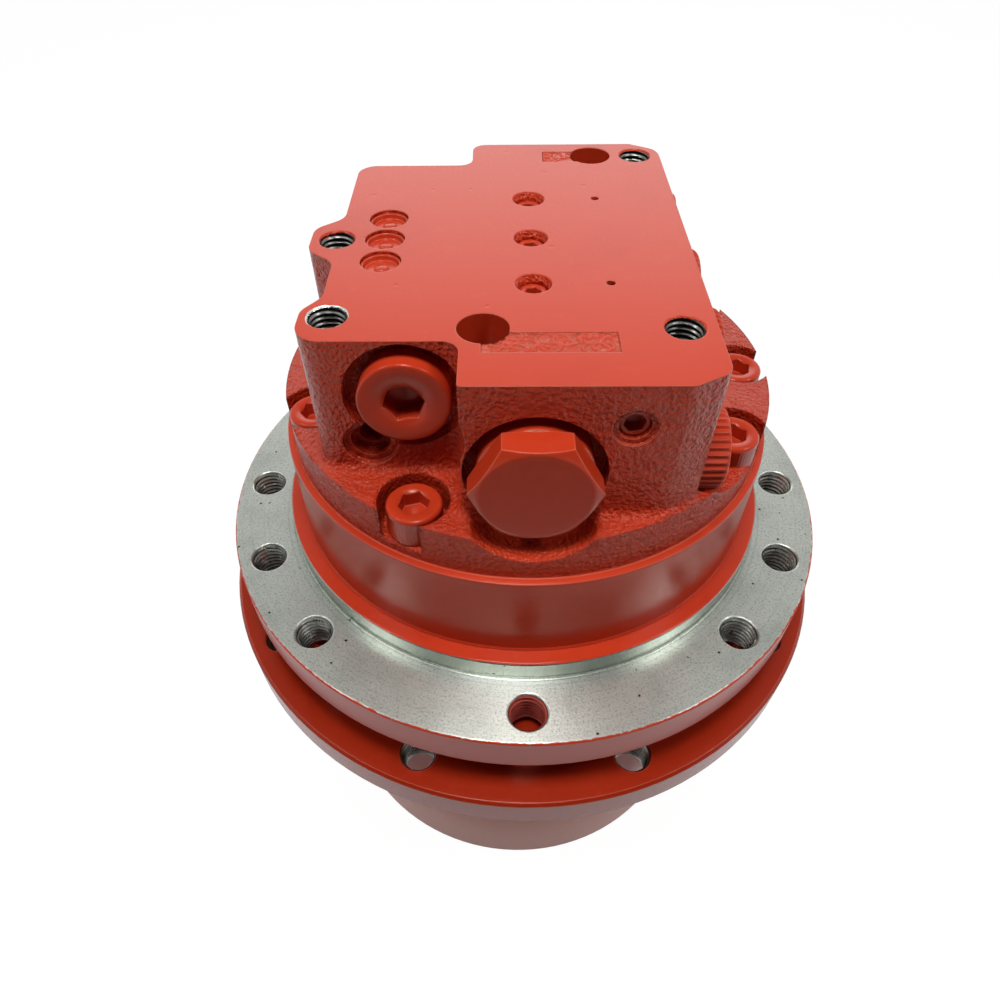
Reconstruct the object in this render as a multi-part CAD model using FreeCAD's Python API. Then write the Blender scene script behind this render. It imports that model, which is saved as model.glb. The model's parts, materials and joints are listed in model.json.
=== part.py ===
import FreeCAD, Part
import math
import os
from FreeCAD import Vector

# Track drive of a small excavator: a hydraulic motor with its valve block on top, a two-stage
# planetary gear train below it, and a hub that turns around both. It stands on the hub's rim,
# with +Z up the turning axis and the origin at the middle of that rim. Sizes are millimetres.

# Gear train
module_size = 2.0
pressure_angle = math.radians(20.0)
backlash = 0.25
addendum = 0.9
dedendum = 1.2
ring_teeth = 72
sun_1_teeth = 12
sun_2_teeth = 18
planet_count = 3
ring_gear_wall = 3.1
planet_1_face = 16.0
planet_2_face = 17.5
planet_gap = 0.9
carrier_1_thickness = 8.2
carrier_1_radius = 58.0
carrier_notch_radius = 18.0
carrier_notch_reach = 7.0
carrier_2_thickness = 12.0
carrier_2_lip = 1.4
carrier_chamfer = 2.0
pin_2_cap = 0.6
pinion_nose = 1.0
pinion_nose_radius = 6.0
stage_gap = 2.5
pin_1_radius = 8.0
pin_2_radius = 10.0
pin_head_height = 1.3
pin_head_ledge = 3.0
bush_wall = 3.0
neck_radius = 14.5
neck_bore_radius = 11.0
carrier_bolt_land = 6.0
carrier_bolt_spread = 14.0
carrier_bolt_radius = 4.0
carrier_bolt_head_radius = 6.5
carrier_bolt_head_height = 7.8
carrier_bolt_socket = 6.0
carrier_bolt_sink = 8.2
carrier_bolt_length = 22.0
carrier_bore_radius = 22.0

# Gear cover in the hub's open end
cover_standoff = 5.2
cover_thickness = 9.8
cover_ledge = 0.5
cover_dish = 4.0
cover_lip = 1.4
cover_boss_radius = 30.0
cover_boss_rise = 1.2
thrust_radius = 10.0
cover_to_gears = 5.0
snap_ring_thickness = 2.4
snap_ring_width = 4.5
snap_ring_grip = 2.0
snap_ring_split = 12.0
snap_ring_play = 0.1
seal_cord = 2.6
oil_plug_circle = 50.0
oil_plug_radius = 8.0
oil_plug_flats = 8.0
oil_plug_socket = 4.5
oil_plug_proud = 1.0
oil_plug_angles = (0.0, 180.0)

# Main bearings
lower_seat_radius = 50.0
upper_seat_step = 5.0
lower_bearing_section = 18.0
upper_bearing_section = 19.0
lower_bearing_width = 16.0
upper_bearing_width = 18.0
bearing_spacing = 6.0
hub_land_height = 4.0
race_thickness = 5.6
roller_gap = 0.2
roller_count = 16
cage_height = 2.0
cage_share = 0.7

# Rotating group in the motor body
piston_count = 7
piston_circle = 24.5
piston_radius = 6.8
piston_length = 22.0
piston_neck_radius = 3.5
cylinder_wall = 4.7
cylinder_length = 32.7
cylinder_floor = 6.0
piston_taper = 0.8
shaft_radius = 11.0
shaft_socket_radius = 12.4
shaft_tail_radius = 8.0
shaft_tail_length = 16.0
tail_bearing_wall = 4.0
pinion_shank_radius = 8.8
pinion_spline_radius = 8.0
pinion_spline_length = 17.0
pinion_standoff = 2.4
shoe_radius = 8.0
shoe_thickness = 2.6
shoe_to_cylinder = 6.8
shoe_socket = 1.0
shoe_collar_radius = 5.1
retainer_thickness = 2.0
guide_radius = 15.9
swash_angle = 8.0
swash_radius = 38.0
swash_clearance = 0.6
swash_thickness = 8.5
swash_room = 4.0
valve_plate_thickness = 4.4
kidney_width = 6.0
kidney_web = 12.0
shaft_bearing_outer = 23.5
shaft_bearing_width = 12.0
shaft_race_thickness = 3.6
shaft_roller_count = 12
shaft_roller_inset = 1.5
shaft_room = 1.6
oil_seal_outer = 20.0
oil_seal_width = 6.5

# Parking brake
disc_ring_width = 13.0
disc_thickness = 1.8
disc_gap = 0.2
disc_count = 3
brake_piston_gap = 3.0
brake_step_gap = 1.5
brake_piston_height = 11.0
brake_step = 5.0
brake_step_width = 4.0
brake_travel = 1.0
brake_spring_wall = 1.6

# Face seal between hub and motor body
body_wall = 10.0
seal_pocket_depth = 9.0
seal_pocket_width = 18.0
seal_ring_width = 6.0
seal_ring_lip = 3.0
seal_ring_play = 0.8
seal_lip_height = 2.0
seal_lip_slope = 1.4
seal_face_gap = 0.3
seal_cord_radius = 2.7
seal_shoulder = 2.5
skirt_wall = 6.5
labyrinth_gap = 1.0
skirt_gap = 0.5
collar_gap = 2.0
collar_wall = 6.5

# Flanges of the hub and of the motor body
drum_wall = 8.7
drum_line_share = 0.34
turned_line = 0.5
sprocket_thickness = 13.5
sprocket_land = 7.0
sprocket_edge = 11.5
sprocket_hole_count = 9
sprocket_hole_first = -70.0
flange_gap = 14.8
body_web = 3.3
frame_thickness = 14.8
frame_land = 11.5
frame_edge = 10.5
frame_hole_count = 8
frame_extra_angle = 22.5
flange_thread_radius = 6.0
thread_chamfer = 0.45
edge_chamfer = 1.0
pilot_step = 5.4
pilot_height = 7.8
pilot_groove = 0.9
joint_cord_radius = 0.93
joint_groove_wall = 1.9
joint_groove_width = 2.8
joint_groove_depth = 1.9

# Screws that hold the valve block to the motor body
screw_angles = (0.4, 30.0, 116.0, 162.0, -162.0, -117.6, -28.0)
screw_radius = 5.0
screw_head_radius = 8.0
screw_head_height = 10.0
screw_socket = 8.0
screw_wall = 11.8
screw_edge = 8.2
screw_seat_rise = 3.3
screw_pocket_radius = 10.3
screw_engagement = 18.0
screw_run_out = 2.0
screw_pocket_rise = 6.0
bolt_play = 0.1

# Valve block
skirt_step = 2.6
skirt_height = 32.4
casting_height = 14.3
cast_rounding = 3.0
block_rise = 42.5
block_front = -67.4
block_back = 69.0
block_right = 45.5
block_left = -55.0
step_x = -18.6
step_back_shift = 1.0
left_front = -49.5
left_back = 52.0
corner_radius = 10.0
corner_run = 9.6
corner_rise = 5.2
step_rounding = 4.5
ear_middle = 1.6
ear_half = 6.5
ear_reach = 8.1
ear_slope = 6.5
ear_rounding = 6.0
front_ear_reach = 4.8
front_ear_length = 13.5

# Plugs of the counterbalance valve, front and back
main_plug_x = 0.4
main_plug_drop = 27.8
main_plug_flats = 30.0
main_plug_head = 8.0
main_plug_chamfer = 2.2
main_plug_gap = 2.0
main_plug_floor = 4.0
main_plug_proud = 8.6
main_plug_rear_chamfer = 0.8
main_pocket_radius = 18.8
main_pocket_depth = 7.0
main_trough_radius = 22.3
main_bore_radius = 13.0
main_bore_depth = 24.0
main_spool_radius = 8.0
main_spool_length = 60.0
main_spool_land = 12.0
main_spool_neck = 2.5
main_spool_travel = 3.0
main_spring_wire = 1.0
main_spring_turns = 5
spring_sides = 8

# Plugs of the travel speed valve, front and back
speed_plug_x = -33.5
speed_plug_drop = 17.2
speed_plug_radius = 12.3
speed_plug_proud = 3.0
speed_plug_flats = 10.0
speed_plug_socket = 6.5
speed_plug_gap = 2.0
speed_plug_floor = 4.0
speed_pocket_radius = 16.3
speed_pocket_depth = 5.0
speed_bore_radius = 9.0
speed_bore_depth = 16.0
speed_spool_radius = 6.0
speed_spool_neck = 2.0
speed_spool_waist = 16.0
speed_spool_reach = 8.0

# Ports on the right side: place along Y, then drop below the top face
main_ports = ((-47.5, 36.0), (-22.0, 22.0), (12.5, 22.5))
port_radius = 8.0
port_depth = 14.0
port_cap_radius = 12.0
port_cap_height = 7.8
port_cap_ribs = 36
port_cap_rib_depth = 0.7
port_cap_slope = 2.6
port_cap_stem = 4.0
port_cap_room = 1.0
pilot_port = (45.0, 13.0)
pilot_port_radius = 4.5
pilot_cap_radius = 6.3
pilot_cap_height = 5.0

# Holes in the top face and the front faces
cover_thread_radius = 5.0
cover_thread_depth = 20.0
right_hole_inset = 8.3
front_hole_inset = 23.4
back_hole_inset = 9.6
ear_hole = 0.6
front_ear_hole = 2.6
drain_front_offset = 13.2
drain_back_offset = 21.7
drain_radius = 6.7
drain_depth = 34.0
cup_radius = 5.8
cup_depth = 3.2
cup_wall = 0.85
cup_ledge = 2.0
cup_button = 1.9
cup_inset = 13.3
cup_spacing = 12.6
set_screw_radius = 4.0
set_screw_length = 8.0
set_screw_sink_radius = 5.1
set_screw_sink = 1.6
set_screw_drop = 2.2
set_screw_socket = 3.0
set_screw_middle = 2.0
set_screw_spacing = 25.0
pin_hole_radius = 1.25
pin_hole_depth = 8.0
pin_hole_offset = 20.6
label_recess_depth = 0.4
label_length = 33.8
label_width = 8.5
label_inset = 13.1
label_offset = 5.3
rear_label_length = 11.5
rear_label_width = 8.0
rear_label_inset = 6.3
rear_label_offset = 24.5
gauge_plug_place = (23.9, 12.5)
gauge_sink_radius = 5.6
gauge_plug_flats = 5.0
gauge_plug_radius = 4.0
gauge_plug_length = 9.0
gauge_plug_socket = 3.0
gauge_plug_drop = 1.8
gauge_sink_depth = 0.8
gauge_hole_depth = 11.2
side_port_place = (-44.4, 33.0)
side_port_steps = ((7.6, 1.6), (5.6, 5.0), (3.5, 14.0))

# Clearances: of running fits, of seated pieces, and between pieces that pass each other
fit = 0.05
seat = 0.02
clear = 0.3

# Gears and carriers
planet_1_teeth = (ring_teeth - sun_1_teeth) // 2
planet_2_teeth = (ring_teeth - sun_2_teeth) // 2
ring_pitch = module_size * ring_teeth / 2
planet_1_orbit = module_size * (sun_1_teeth + planet_1_teeth) / 2
planet_2_orbit = module_size * (sun_2_teeth + planet_2_teeth) / 2
ring_tip = ring_pitch - addendum * module_size
ring_root = ring_pitch + dedendum * module_size
ring_gear_radius = ring_root + ring_gear_wall
planet_1_angles = [360.0 * i / planet_count for i in range(planet_count)]
planet_2_angles = [angle + 180.0 / planet_count for angle in planet_1_angles]

# Radii, from the middle outwards
cover_radius = ring_gear_radius + cover_ledge
drum_radius = cover_radius + drum_wall
upper_seat_radius = lower_seat_radius + upper_seat_step
lower_outer_radius = lower_seat_radius + lower_bearing_section
upper_outer_radius = upper_seat_radius + upper_bearing_section
hub_land_radius = lower_outer_radius - hub_land_height
carrier_bolt_circle = lower_seat_radius - carrier_bolt_land
carrier_2_radius = lower_seat_radius + race_thickness + carrier_2_lip
cylinder_radius = piston_circle + piston_radius + cylinder_wall
swash_bore = swash_radius + swash_room
plate_bore = cylinder_radius + disc_ring_width + brake_travel + brake_step_width
brake_bore = plate_bore + brake_step_width
body_neck_radius = plate_bore + body_wall
seal_pocket_radius = body_neck_radius + seal_pocket_width
seal_lip_radius = seal_pocket_radius - seal_ring_lip
seal_nose_radius = seal_lip_radius - seal_ring_lip
seal_inner_radius = seal_nose_radius - seal_ring_width
body_skirt_radius = seal_pocket_radius + skirt_wall
collar_radius = body_skirt_radius + labyrinth_gap + collar_wall
sprocket_circle = max(collar_radius + sprocket_land, drum_radius + sprocket_land)
sprocket_radius = sprocket_circle + sprocket_edge
screw_circle = brake_bore + screw_wall
casting_radius = screw_circle + screw_edge
skirt_radius = casting_radius + skirt_step
pilot_radius = skirt_radius + pilot_step
frame_circle = pilot_radius + frame_land
frame_radius = frame_circle + frame_edge

# Heights, added up from the ground
cover_top = cover_standoff + cover_thickness
planet_1_low = cover_top + cover_to_gears
pinion_end = planet_1_low - pinion_nose
planet_1_high = planet_1_low + planet_1_face
carrier_1_low = planet_1_high + planet_gap
carrier_1_high = carrier_1_low + carrier_1_thickness
planet_2_low = carrier_1_high + stage_gap
planet_2_high = planet_2_low + planet_2_face
carrier_2_low = planet_2_high + planet_gap
spindle_end = carrier_2_low + carrier_2_thickness
lower_bearing_high = spindle_end + lower_bearing_width
upper_bearing_low = lower_bearing_high + bearing_spacing
upper_bearing_high = upper_bearing_low + upper_bearing_width
seal_floor = upper_bearing_high + seal_shoulder
seal_face = seal_floor + seal_pocket_depth
seal_ceiling = seal_face + seal_pocket_depth
frame_low = seal_ceiling + body_web
frame_face = frame_low + frame_thickness
sprocket_top = frame_low - flange_gap
drum_height = sprocket_top - sprocket_thickness
ring_gear_high = planet_2_high + 2 * stage_gap
joint_face = frame_face + pilot_height
ledge = joint_face + skirt_height
shelf = ledge + casting_height
block_top = shelf + block_rise
screw_seat = ledge + screw_seat_rise
main_plug_z = block_top - main_plug_drop
speed_plug_z = block_top - speed_plug_drop

# Seats of the four plugs along Y, and the tail bearing
main_front = block_front + main_pocket_depth
main_back = block_back - main_pocket_depth
main_middle = (main_front + main_back) / 2
speed_front = left_front + speed_pocket_depth
speed_back = left_back - speed_pocket_depth
tail_bearing_radius = shaft_tail_radius + tail_bearing_wall
tail_high = joint_face + shaft_tail_length

valve_plate_low = joint_face - valve_plate_thickness
cylinder_high = valve_plate_low - clear
cylinder_low = cylinder_high - cylinder_length
shoe_low = cylinder_low - shoe_to_cylinder
shoe_high = shoe_low + shoe_thickness
swash_middle = shoe_low - swash_clearance - swash_radius * math.tan(math.radians(swash_angle))
swash_seat = swash_middle - swash_thickness
shaft_bearing_high = swash_seat - 1.5
shaft_bearing_low = shaft_bearing_high - shaft_bearing_width
oil_seal_high = shaft_bearing_low - 1.0
oil_seal_low = oil_seal_high - oil_seal_width
shaft_socket_low = spindle_end + pinion_standoff
plate_seat = cylinder_low + 1.0
stack_high = plate_seat + (2 * disc_count + 1) * (disc_thickness + disc_gap) - disc_gap
brake_low = stack_high + disc_gap
brake_high = brake_low + brake_piston_height
brake_step_z = brake_low + brake_step

UP = Vector(0, 0, 1)


def rod(radius, low, high, x=0.0, y=0.0):
    """Upright cylinder between two heights."""
    return Part.makeCylinder(radius, high - low, Vector(x, y, low), UP)


def rod_x(radius, start, end, y, z):
    """Cylinder that lies along X."""
    return Part.makeCylinder(radius, end - start, Vector(start, y, z), Vector(1, 0, 0))


def rod_y(radius, start, end, x, z):
    """Cylinder that lies along Y."""
    return Part.makeCylinder(radius, end - start, Vector(x, start, z), Vector(0, 1, 0))


def box(low, high):
    """Box between two opposite corners."""
    return Part.makeBox(high[0] - low[0], high[1] - low[1], high[2] - low[2], Vector(*low))


def turned(profile):
    """Solid of revolution about Z from a closed profile of (radius, height) points."""
    points = [Vector(radius, 0, height) for radius, height in profile]
    face = Part.Face(Part.makePolygon(points + points[:1]))
    return face.revolve(Vector(0, 0, 0), UP, 360)


def tube(inner, outer, low, high):
    """Plain ring between two radii and two heights."""
    return turned([(inner, low), (outer, low), (outer, high), (inner, high)])


def cord_ring(radius, cord, height):
    """Round rubber ring about Z."""
    return Part.makeTorus(radius, cord, Vector(0, 0, height), UP)


def spun(shape, angle):
    """Copy of a shape turned about Z by some degrees."""
    copy = shape.copy()
    copy.rotate(Vector(0, 0, 0), UP, angle)
    return copy


def ring_of(shape, angles):
    """Copies of a shape, one at each angle about Z."""
    return [spun(shape, angle) for angle in angles]


def on_circle(radius, angle):
    """Point on a circle about Z, from its angle in degrees."""
    turn = math.radians(angle)
    return radius * math.cos(turn), radius * math.sin(turn)


def evenly(count, first=0.0):
    """Angles of some equal steps round a circle."""
    return [first + 360.0 * i / count for i in range(count)]


def prism(points, low, high):
    """Upright prism on a closed outline of (x, y) points."""
    corners = [Vector(x, y, low) for x, y in points]
    face = Part.Face(Part.makePolygon(corners + corners[:1]))
    return face.extrude(Vector(0, 0, high - low))


def hexagon(flats, low, high):
    """Upright hexagonal prism, with two corners on the X axis."""
    corner = flats / math.sqrt(3)
    return prism([on_circle(corner, angle) for angle in evenly(6)], low, high)


def rounded_outline(corners, height):
    """Face at a height from (x, y, radius) corners, each rounded by a tangent arc."""
    edges = []
    ends = []
    count = len(corners)
    for i, (x, y, radius) in enumerate(corners):
        here = Vector(x, y, height)
        before = Vector(corners[i - 1][0], corners[i - 1][1], height) - here
        after = Vector(corners[(i + 1) % count][0], corners[(i + 1) % count][1], height) - here
        half = before.getAngle(after) / 2
        before.normalize()
        after.normalize()
        reach = radius / math.tan(half)
        bisector = before + after
        bisector.normalize()
        middle = here + bisector * (radius / math.sin(half) - radius)
        ends.append((here + before * reach, middle, here + after * reach))
    for i, (start, middle, end) in enumerate(ends):
        edges.append(Part.Arc(start, middle, end).toShape())
        following = ends[(i + 1) % count][0]
        edges.append(Part.makeLine(end, following))
    return Part.Face(Part.Wire(edges))


def lay_along_y(shape, x, y, z, facing):
    """Turn a shape built up along +Z so that it points along -Y (front) or +Y (back)."""
    copy = shape.copy()
    copy.rotate(Vector(0, 0, 0), Vector(1, 0, 0), 90 if facing < 0 else -90)
    copy.translate(Vector(x, y, z))
    return copy


def lay_along_x(shape, x, y, z):
    """Turn a shape built up along +Z so that it points along +X."""
    copy = shape.copy()
    copy.rotate(Vector(0, 0, 0), Vector(0, 1, 0), 90)
    copy.translate(Vector(x, y, z))
    return copy


def involute(angle):
    """Involute function of an angle in radians."""
    return math.tan(angle) - angle


def tooth_half_angle(teeth, radius, thickening):
    """Half of a tooth's angle at a radius, for a tooth thickened at its pitch circle."""
    pitch = module_size * teeth / 2
    base = pitch * math.cos(pressure_angle)
    at_pitch = (math.pi * module_size / 2 + thickening) / (2 * pitch)
    if radius <= base:
        return at_pitch
    return at_pitch + involute(pressure_angle) - involute(math.acos(base / radius))


def toothed_outline(teeth, root, tip, thickening, first):
    """Gear outline with straight flanks between root and tip, its first tooth at an angle."""
    points = []
    for i in range(teeth):
        middle = math.radians(first) + 2 * math.pi * i / teeth
        at_root = tooth_half_angle(teeth, root, thickening)
        at_tip = tooth_half_angle(teeth, tip, thickening)
        for radius, angle in ((root, -at_root), (tip, -at_tip), (tip, at_tip), (root, at_root)):
            points.append((radius * math.cos(middle + angle), radius * math.sin(middle + angle)))
    return points


def gear(teeth, low, high, first):
    """External spur gear about Z."""
    pitch = module_size * teeth / 2
    root = pitch - dedendum * module_size
    tip = pitch + addendum * module_size
    return prism(toothed_outline(teeth, root, tip, -backlash / 2, first), low, high)


def save(name, *solids):
    """Write one node's solids to its STEP file."""
    shape = solids[0] if len(solids) == 1 else Part.makeCompound(list(solids))
    shape.exportStep("parts/" + name + ".step")


# Hub

def threaded_hole(circle, angle, low, high):
    """Cutter for a threaded hole through a flange, with a chamfer at each mouth."""
    mouth = flange_thread_radius + thread_chamfer
    cutter = turned([
        (0, low), (mouth, low), (flange_thread_radius, low + thread_chamfer),
        (flange_thread_radius, high - thread_chamfer), (mouth, high), (0, high),
    ])
    x, y = on_circle(circle, angle)
    cutter.translate(Vector(x, y, 0))
    return cutter


def hub():
    """Rotating hub with the sprocket flange and the seats of bearings, ring gear and cover."""
    groove_low = cover_standoff - snap_ring_thickness - 2 * snap_ring_play
    grip = cover_radius + snap_ring_grip
    labyrinth = body_skirt_radius + labyrinth_gap
    rim = frame_low - collar_gap
    floor = seal_face - skirt_gap / 2
    line = drum_height * drum_line_share
    body = turned([
        (cover_radius, 0), (drum_radius - edge_chamfer, 0), (drum_radius, edge_chamfer),
        (drum_radius, line - turned_line), (drum_radius - turned_line / 2, line),
        (drum_radius, line + turned_line), (drum_radius, drum_height),
        (sprocket_radius - edge_chamfer, drum_height),
        (sprocket_radius, drum_height + edge_chamfer),
        (sprocket_radius, sprocket_top - edge_chamfer),
        (sprocket_radius - edge_chamfer, sprocket_top), (collar_radius, sprocket_top),
        (collar_radius, rim), (labyrinth, rim), (labyrinth, floor),
        (seal_pocket_radius, floor), (seal_pocket_radius, seal_floor),
        (upper_outer_radius, seal_floor), (upper_outer_radius, upper_bearing_low),
        (hub_land_radius, upper_bearing_low), (hub_land_radius, lower_bearing_high),
        (lower_outer_radius, lower_bearing_high), (lower_outer_radius, ring_gear_high),
        (ring_gear_radius, ring_gear_high), (ring_gear_radius, cover_top),
        (cover_radius, cover_top), (cover_radius, cover_standoff), (grip, cover_standoff),
        (grip, groove_low), (cover_radius, groove_low),
    ])
    for angle in evenly(sprocket_hole_count, sprocket_hole_first):
        body = body.cut(threaded_hole(sprocket_circle, angle, drum_height, sprocket_top))
    return body


def ring_gear():
    """Internal gear of both stages, held in the hub between its shoulder and the cover."""
    body = tube(ring_tip, ring_gear_radius - seat, cover_top, ring_gear_high)
    inside = ring_tip - module_size / 4
    spaces = toothed_outline(ring_teeth, inside, ring_root, backlash / 2, 0.0)
    return body.cut(prism(spaces, cover_top - 1, ring_gear_high + 1))


def gear_cover():
    """Cover in the hub's open end, with a raised centre, two plug holes and a thrust boss."""
    low = cover_standoff
    outer = cover_radius - fit
    groove = cover_radius - seal_cord
    groove_high = cover_top - cover_lip
    groove_low = groove_high - seal_cord - 2 * clear
    dish = cover_top - cover_dish
    thrust_top = pinion_end - clear
    body = turned([
        (0, low - cover_boss_rise), (cover_boss_radius, low - cover_boss_rise),
        (cover_boss_radius + cover_dish, low), (outer - edge_chamfer, low),
        (outer, low + edge_chamfer), (outer, groove_low), (groove, groove_low),
        (groove, groove_high), (outer, groove_high), (outer, cover_top),
        (ring_tip - clear, cover_top), (ring_tip - clear - cover_dish, dish),
        (thrust_radius + edge_chamfer, dish), (thrust_radius, thrust_top), (0, thrust_top),
    ])
    for angle in oil_plug_angles:
        x, y = on_circle(oil_plug_circle, angle)
        body = body.cut(rod(oil_plug_radius, 0, cover_top + 1, x, y))
    return body


def cover_snap_ring():
    """Split ring that locks the cover in the hub."""
    high = cover_standoff - snap_ring_play
    low = high - snap_ring_thickness
    half = snap_ring_split / 2
    ring = tube(cover_radius - snap_ring_width, cover_radius + snap_ring_grip - clear, low, high)
    return ring.cut(box((-half, 0, low - 1), (half, drum_radius, high + 1)))


def oil_plugs():
    """Two oil plugs in the cover, each with a hexagon socket."""
    plugs = []
    low = cover_standoff - oil_plug_proud
    for angle in oil_plug_angles:
        plug = rod(oil_plug_radius - fit, low, cover_top - cover_dish)
        plug = plug.cut(hexagon(oil_plug_flats, low - 1, low + oil_plug_socket))
        x, y = on_circle(oil_plug_circle, angle)
        plug.translate(Vector(x, y, 0))
        plugs.append(plug)
    return plugs


def cover_seal_ring():
    """Rubber ring in the cover's groove."""
    high = cover_top - cover_lip - clear
    return tube(cover_radius - seal_cord + 2 * fit, cover_radius - fit, high - seal_cord, high)


# Gear train

def planet(teeth, face_low, face_high, orbit, angle, pin):
    """Planet gear and its bush. A tooth points away from the axis, into a gap of the ring gear."""
    blank = gear(teeth, face_low, face_high, angle)
    bush_outer = pin + bush_wall
    bored = blank.cut(rod(bush_outer, face_low - 1, face_high + 1))
    bush = tube(pin + fit, bush_outer - seat, face_low, face_high)
    x, y = on_circle(orbit, angle)
    for solid in (bored, bush):
        solid.translate(Vector(x, y, 0))
    return bored, bush


def planet_pins(radius, face_low, top, orbit, angles):
    """Pins that the planets turn on, each with a head below its planet."""
    head_high = face_low - clear
    head_low = head_high - pin_head_height
    head = radius + pin_head_ledge
    pin = turned([
        (0, head_low), (head, head_low), (head, head_high), (radius, head_high),
        (radius, top), (0, top),
    ])
    pin.translate(Vector(orbit, 0, 0))
    return ring_of(pin, angles)


def carrier_1():
    """First-stage carrier: a three-armed spider above its planets."""
    low = carrier_1_low - 1
    high = carrier_1_high + 1
    body = tube(neck_radius + seat, carrier_1_radius, carrier_1_low, carrier_1_high)
    notch = rod(carrier_notch_radius, low, high, carrier_1_radius + carrier_notch_reach, 0)
    for angle in planet_2_angles:
        body = body.cut(spun(notch, angle))
    hole = rod(pin_1_radius + seat, low, high, planet_1_orbit, 0)
    for angle in planet_1_angles:
        body = body.cut(spun(hole, angle))
    return body


def sun_gear_2():
    """Second-stage sun gear, whose neck is splined into the first carrier."""
    low = carrier_1_high + edge_chamfer
    body = gear(sun_2_teeth, low, planet_2_high + planet_gap / 2, planet_2_angles[0])
    body = body.fuse(rod(neck_radius, carrier_1_low, low))
    return body.cut(rod(neck_bore_radius, carrier_1_low - 1, carrier_2_low)).removeSplitter()


def sun_gear_1():
    """First-stage sun gear on its long pinion shaft."""
    body = gear(sun_1_teeth, planet_1_low, planet_1_high, 180.0 / sun_1_teeth)
    step = shaft_socket_low - edge_chamfer
    end = shaft_socket_low + pinion_spline_length
    shank = turned([
        (0, pinion_end), (pinion_nose_radius, pinion_end), (pinion_nose_radius, planet_1_low),
        (pinion_shank_radius, planet_1_low), (pinion_shank_radius, step),
        (pinion_spline_radius, step), (pinion_spline_radius, end), (0, end),
    ])
    return body.fuse(shank).removeSplitter()


def carrier_bolt_angles():
    """Angles of the bolt pairs between the second-stage planets."""
    return [angle + side * carrier_bolt_spread for angle in planet_1_angles for side in (-1, 1)]


def carrier_2():
    """Second-stage carrier, bolted to the motor body and clamping the lower bearing."""
    low = carrier_2_low
    body = turned([
        (carrier_bore_radius, low), (carrier_2_radius, low),
        (carrier_2_radius, spindle_end - carrier_chamfer),
        (carrier_2_radius - carrier_chamfer, spindle_end), (carrier_bore_radius, spindle_end),
    ])
    hole = rod(pin_2_radius + seat, low - 1, spindle_end - pin_2_cap, planet_2_orbit, 0)
    for angle in planet_2_angles:
        body = body.cut(spun(hole, angle))
    bolt = rod(carrier_bolt_radius + bolt_play, low - 1, spindle_end + 1, carrier_bolt_circle, 0)
    sink = carrier_bolt_head_radius + clear
    bolt = bolt.fuse(rod(sink, low - 1, low + carrier_bolt_sink, carrier_bolt_circle, 0))
    for angle in carrier_bolt_angles():
        body = body.cut(spun(bolt, angle))
    return body


def socket_screw(radius, head_radius, head_height, socket, seat_height, tip, side):
    """Socket-head cap screw on the Z axis, its head above (1) or below (-1) its seat."""
    head_end = seat_height + side * head_height
    body = rod(head_radius, *sorted((seat_height, head_end)))
    body = body.fuse(rod(radius, *sorted((seat_height, tip))))
    socket_end = head_end - side * head_height / 2
    return body.cut(hexagon(socket, *sorted((head_end + side, socket_end))))


def carrier_bolts():
    """Bolts that hold the second carrier to the motor body."""
    screw = socket_screw(carrier_bolt_radius, carrier_bolt_head_radius, carrier_bolt_head_height,
                         carrier_bolt_socket, carrier_2_low + carrier_bolt_sink,
                         spindle_end + carrier_bolt_length, -1)
    screw.translate(Vector(carrier_bolt_circle, 0, 0))
    return ring_of(screw, carrier_bolt_angles())


# Main bearings

def bearing_levels():
    """The two main bearings: seat radius, outer radius and the two heights of each."""
    return (
        (lower_seat_radius, lower_outer_radius, spindle_end, lower_bearing_high),
        (upper_seat_radius, upper_outer_radius, upper_bearing_low, upper_bearing_high),
    )


def inner_races():
    """Inner races, on the motor body."""
    return [tube(inner + seat, inner + race_thickness, low, high)
            for inner, outer, low, high in bearing_levels()]


def outer_races():
    """Outer races, in the hub."""
    return [tube(outer - race_thickness, outer - seat, low + roller_gap, high)
            for inner, outer, low, high in bearing_levels()]


def bearing_rollers():
    """Rollers and cage rings of both main bearings."""
    solids = []
    for inner, outer, low, high in bearing_levels():
        middle = (inner + outer) / 2
        radius = (outer - inner) / 2 - race_thickness - roller_gap
        roller = rod(radius, low + cage_height, high - cage_height, middle, 0)
        solids += ring_of(roller, evenly(roller_count))
        inside = middle - radius * cage_share
        outside = middle + radius * cage_share
        solids.append(tube(inside, outside, low + clear, low + cage_height))
        solids.append(tube(inside, outside, high - cage_height, high - clear))
    return solids


# Face seal

def seal_half(side):
    """Metal seal ring and its rubber ring, below (-1) or above (1) the sealing face."""
    face = seal_face + side * seal_face_gap / 2
    pocket_end = seal_face + side * seal_pocket_depth
    back = pocket_end - side * seal_ring_play
    ring = turned([
        (seal_inner_radius, face), (seal_lip_radius, face),
        (seal_lip_radius, face + side * seal_lip_height),
        (seal_nose_radius, face + side * (seal_lip_height + seal_lip_slope)),
        (seal_nose_radius, back), (seal_inner_radius, back),
    ])
    cord = cord_ring(seal_nose_radius + seal_cord_radius + 2 * fit, seal_cord_radius,
                     pocket_end - side * (seal_cord_radius + clear))
    return ring, cord


# Motor body

def frame_hole_angles():
    """Angles of the frame flange's threaded holes: eight evenly spaced and four between them."""
    extra = frame_extra_angle
    return evenly(frame_hole_count) + [extra, 180.0 - extra, 180.0 + extra, -extra]


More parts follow.
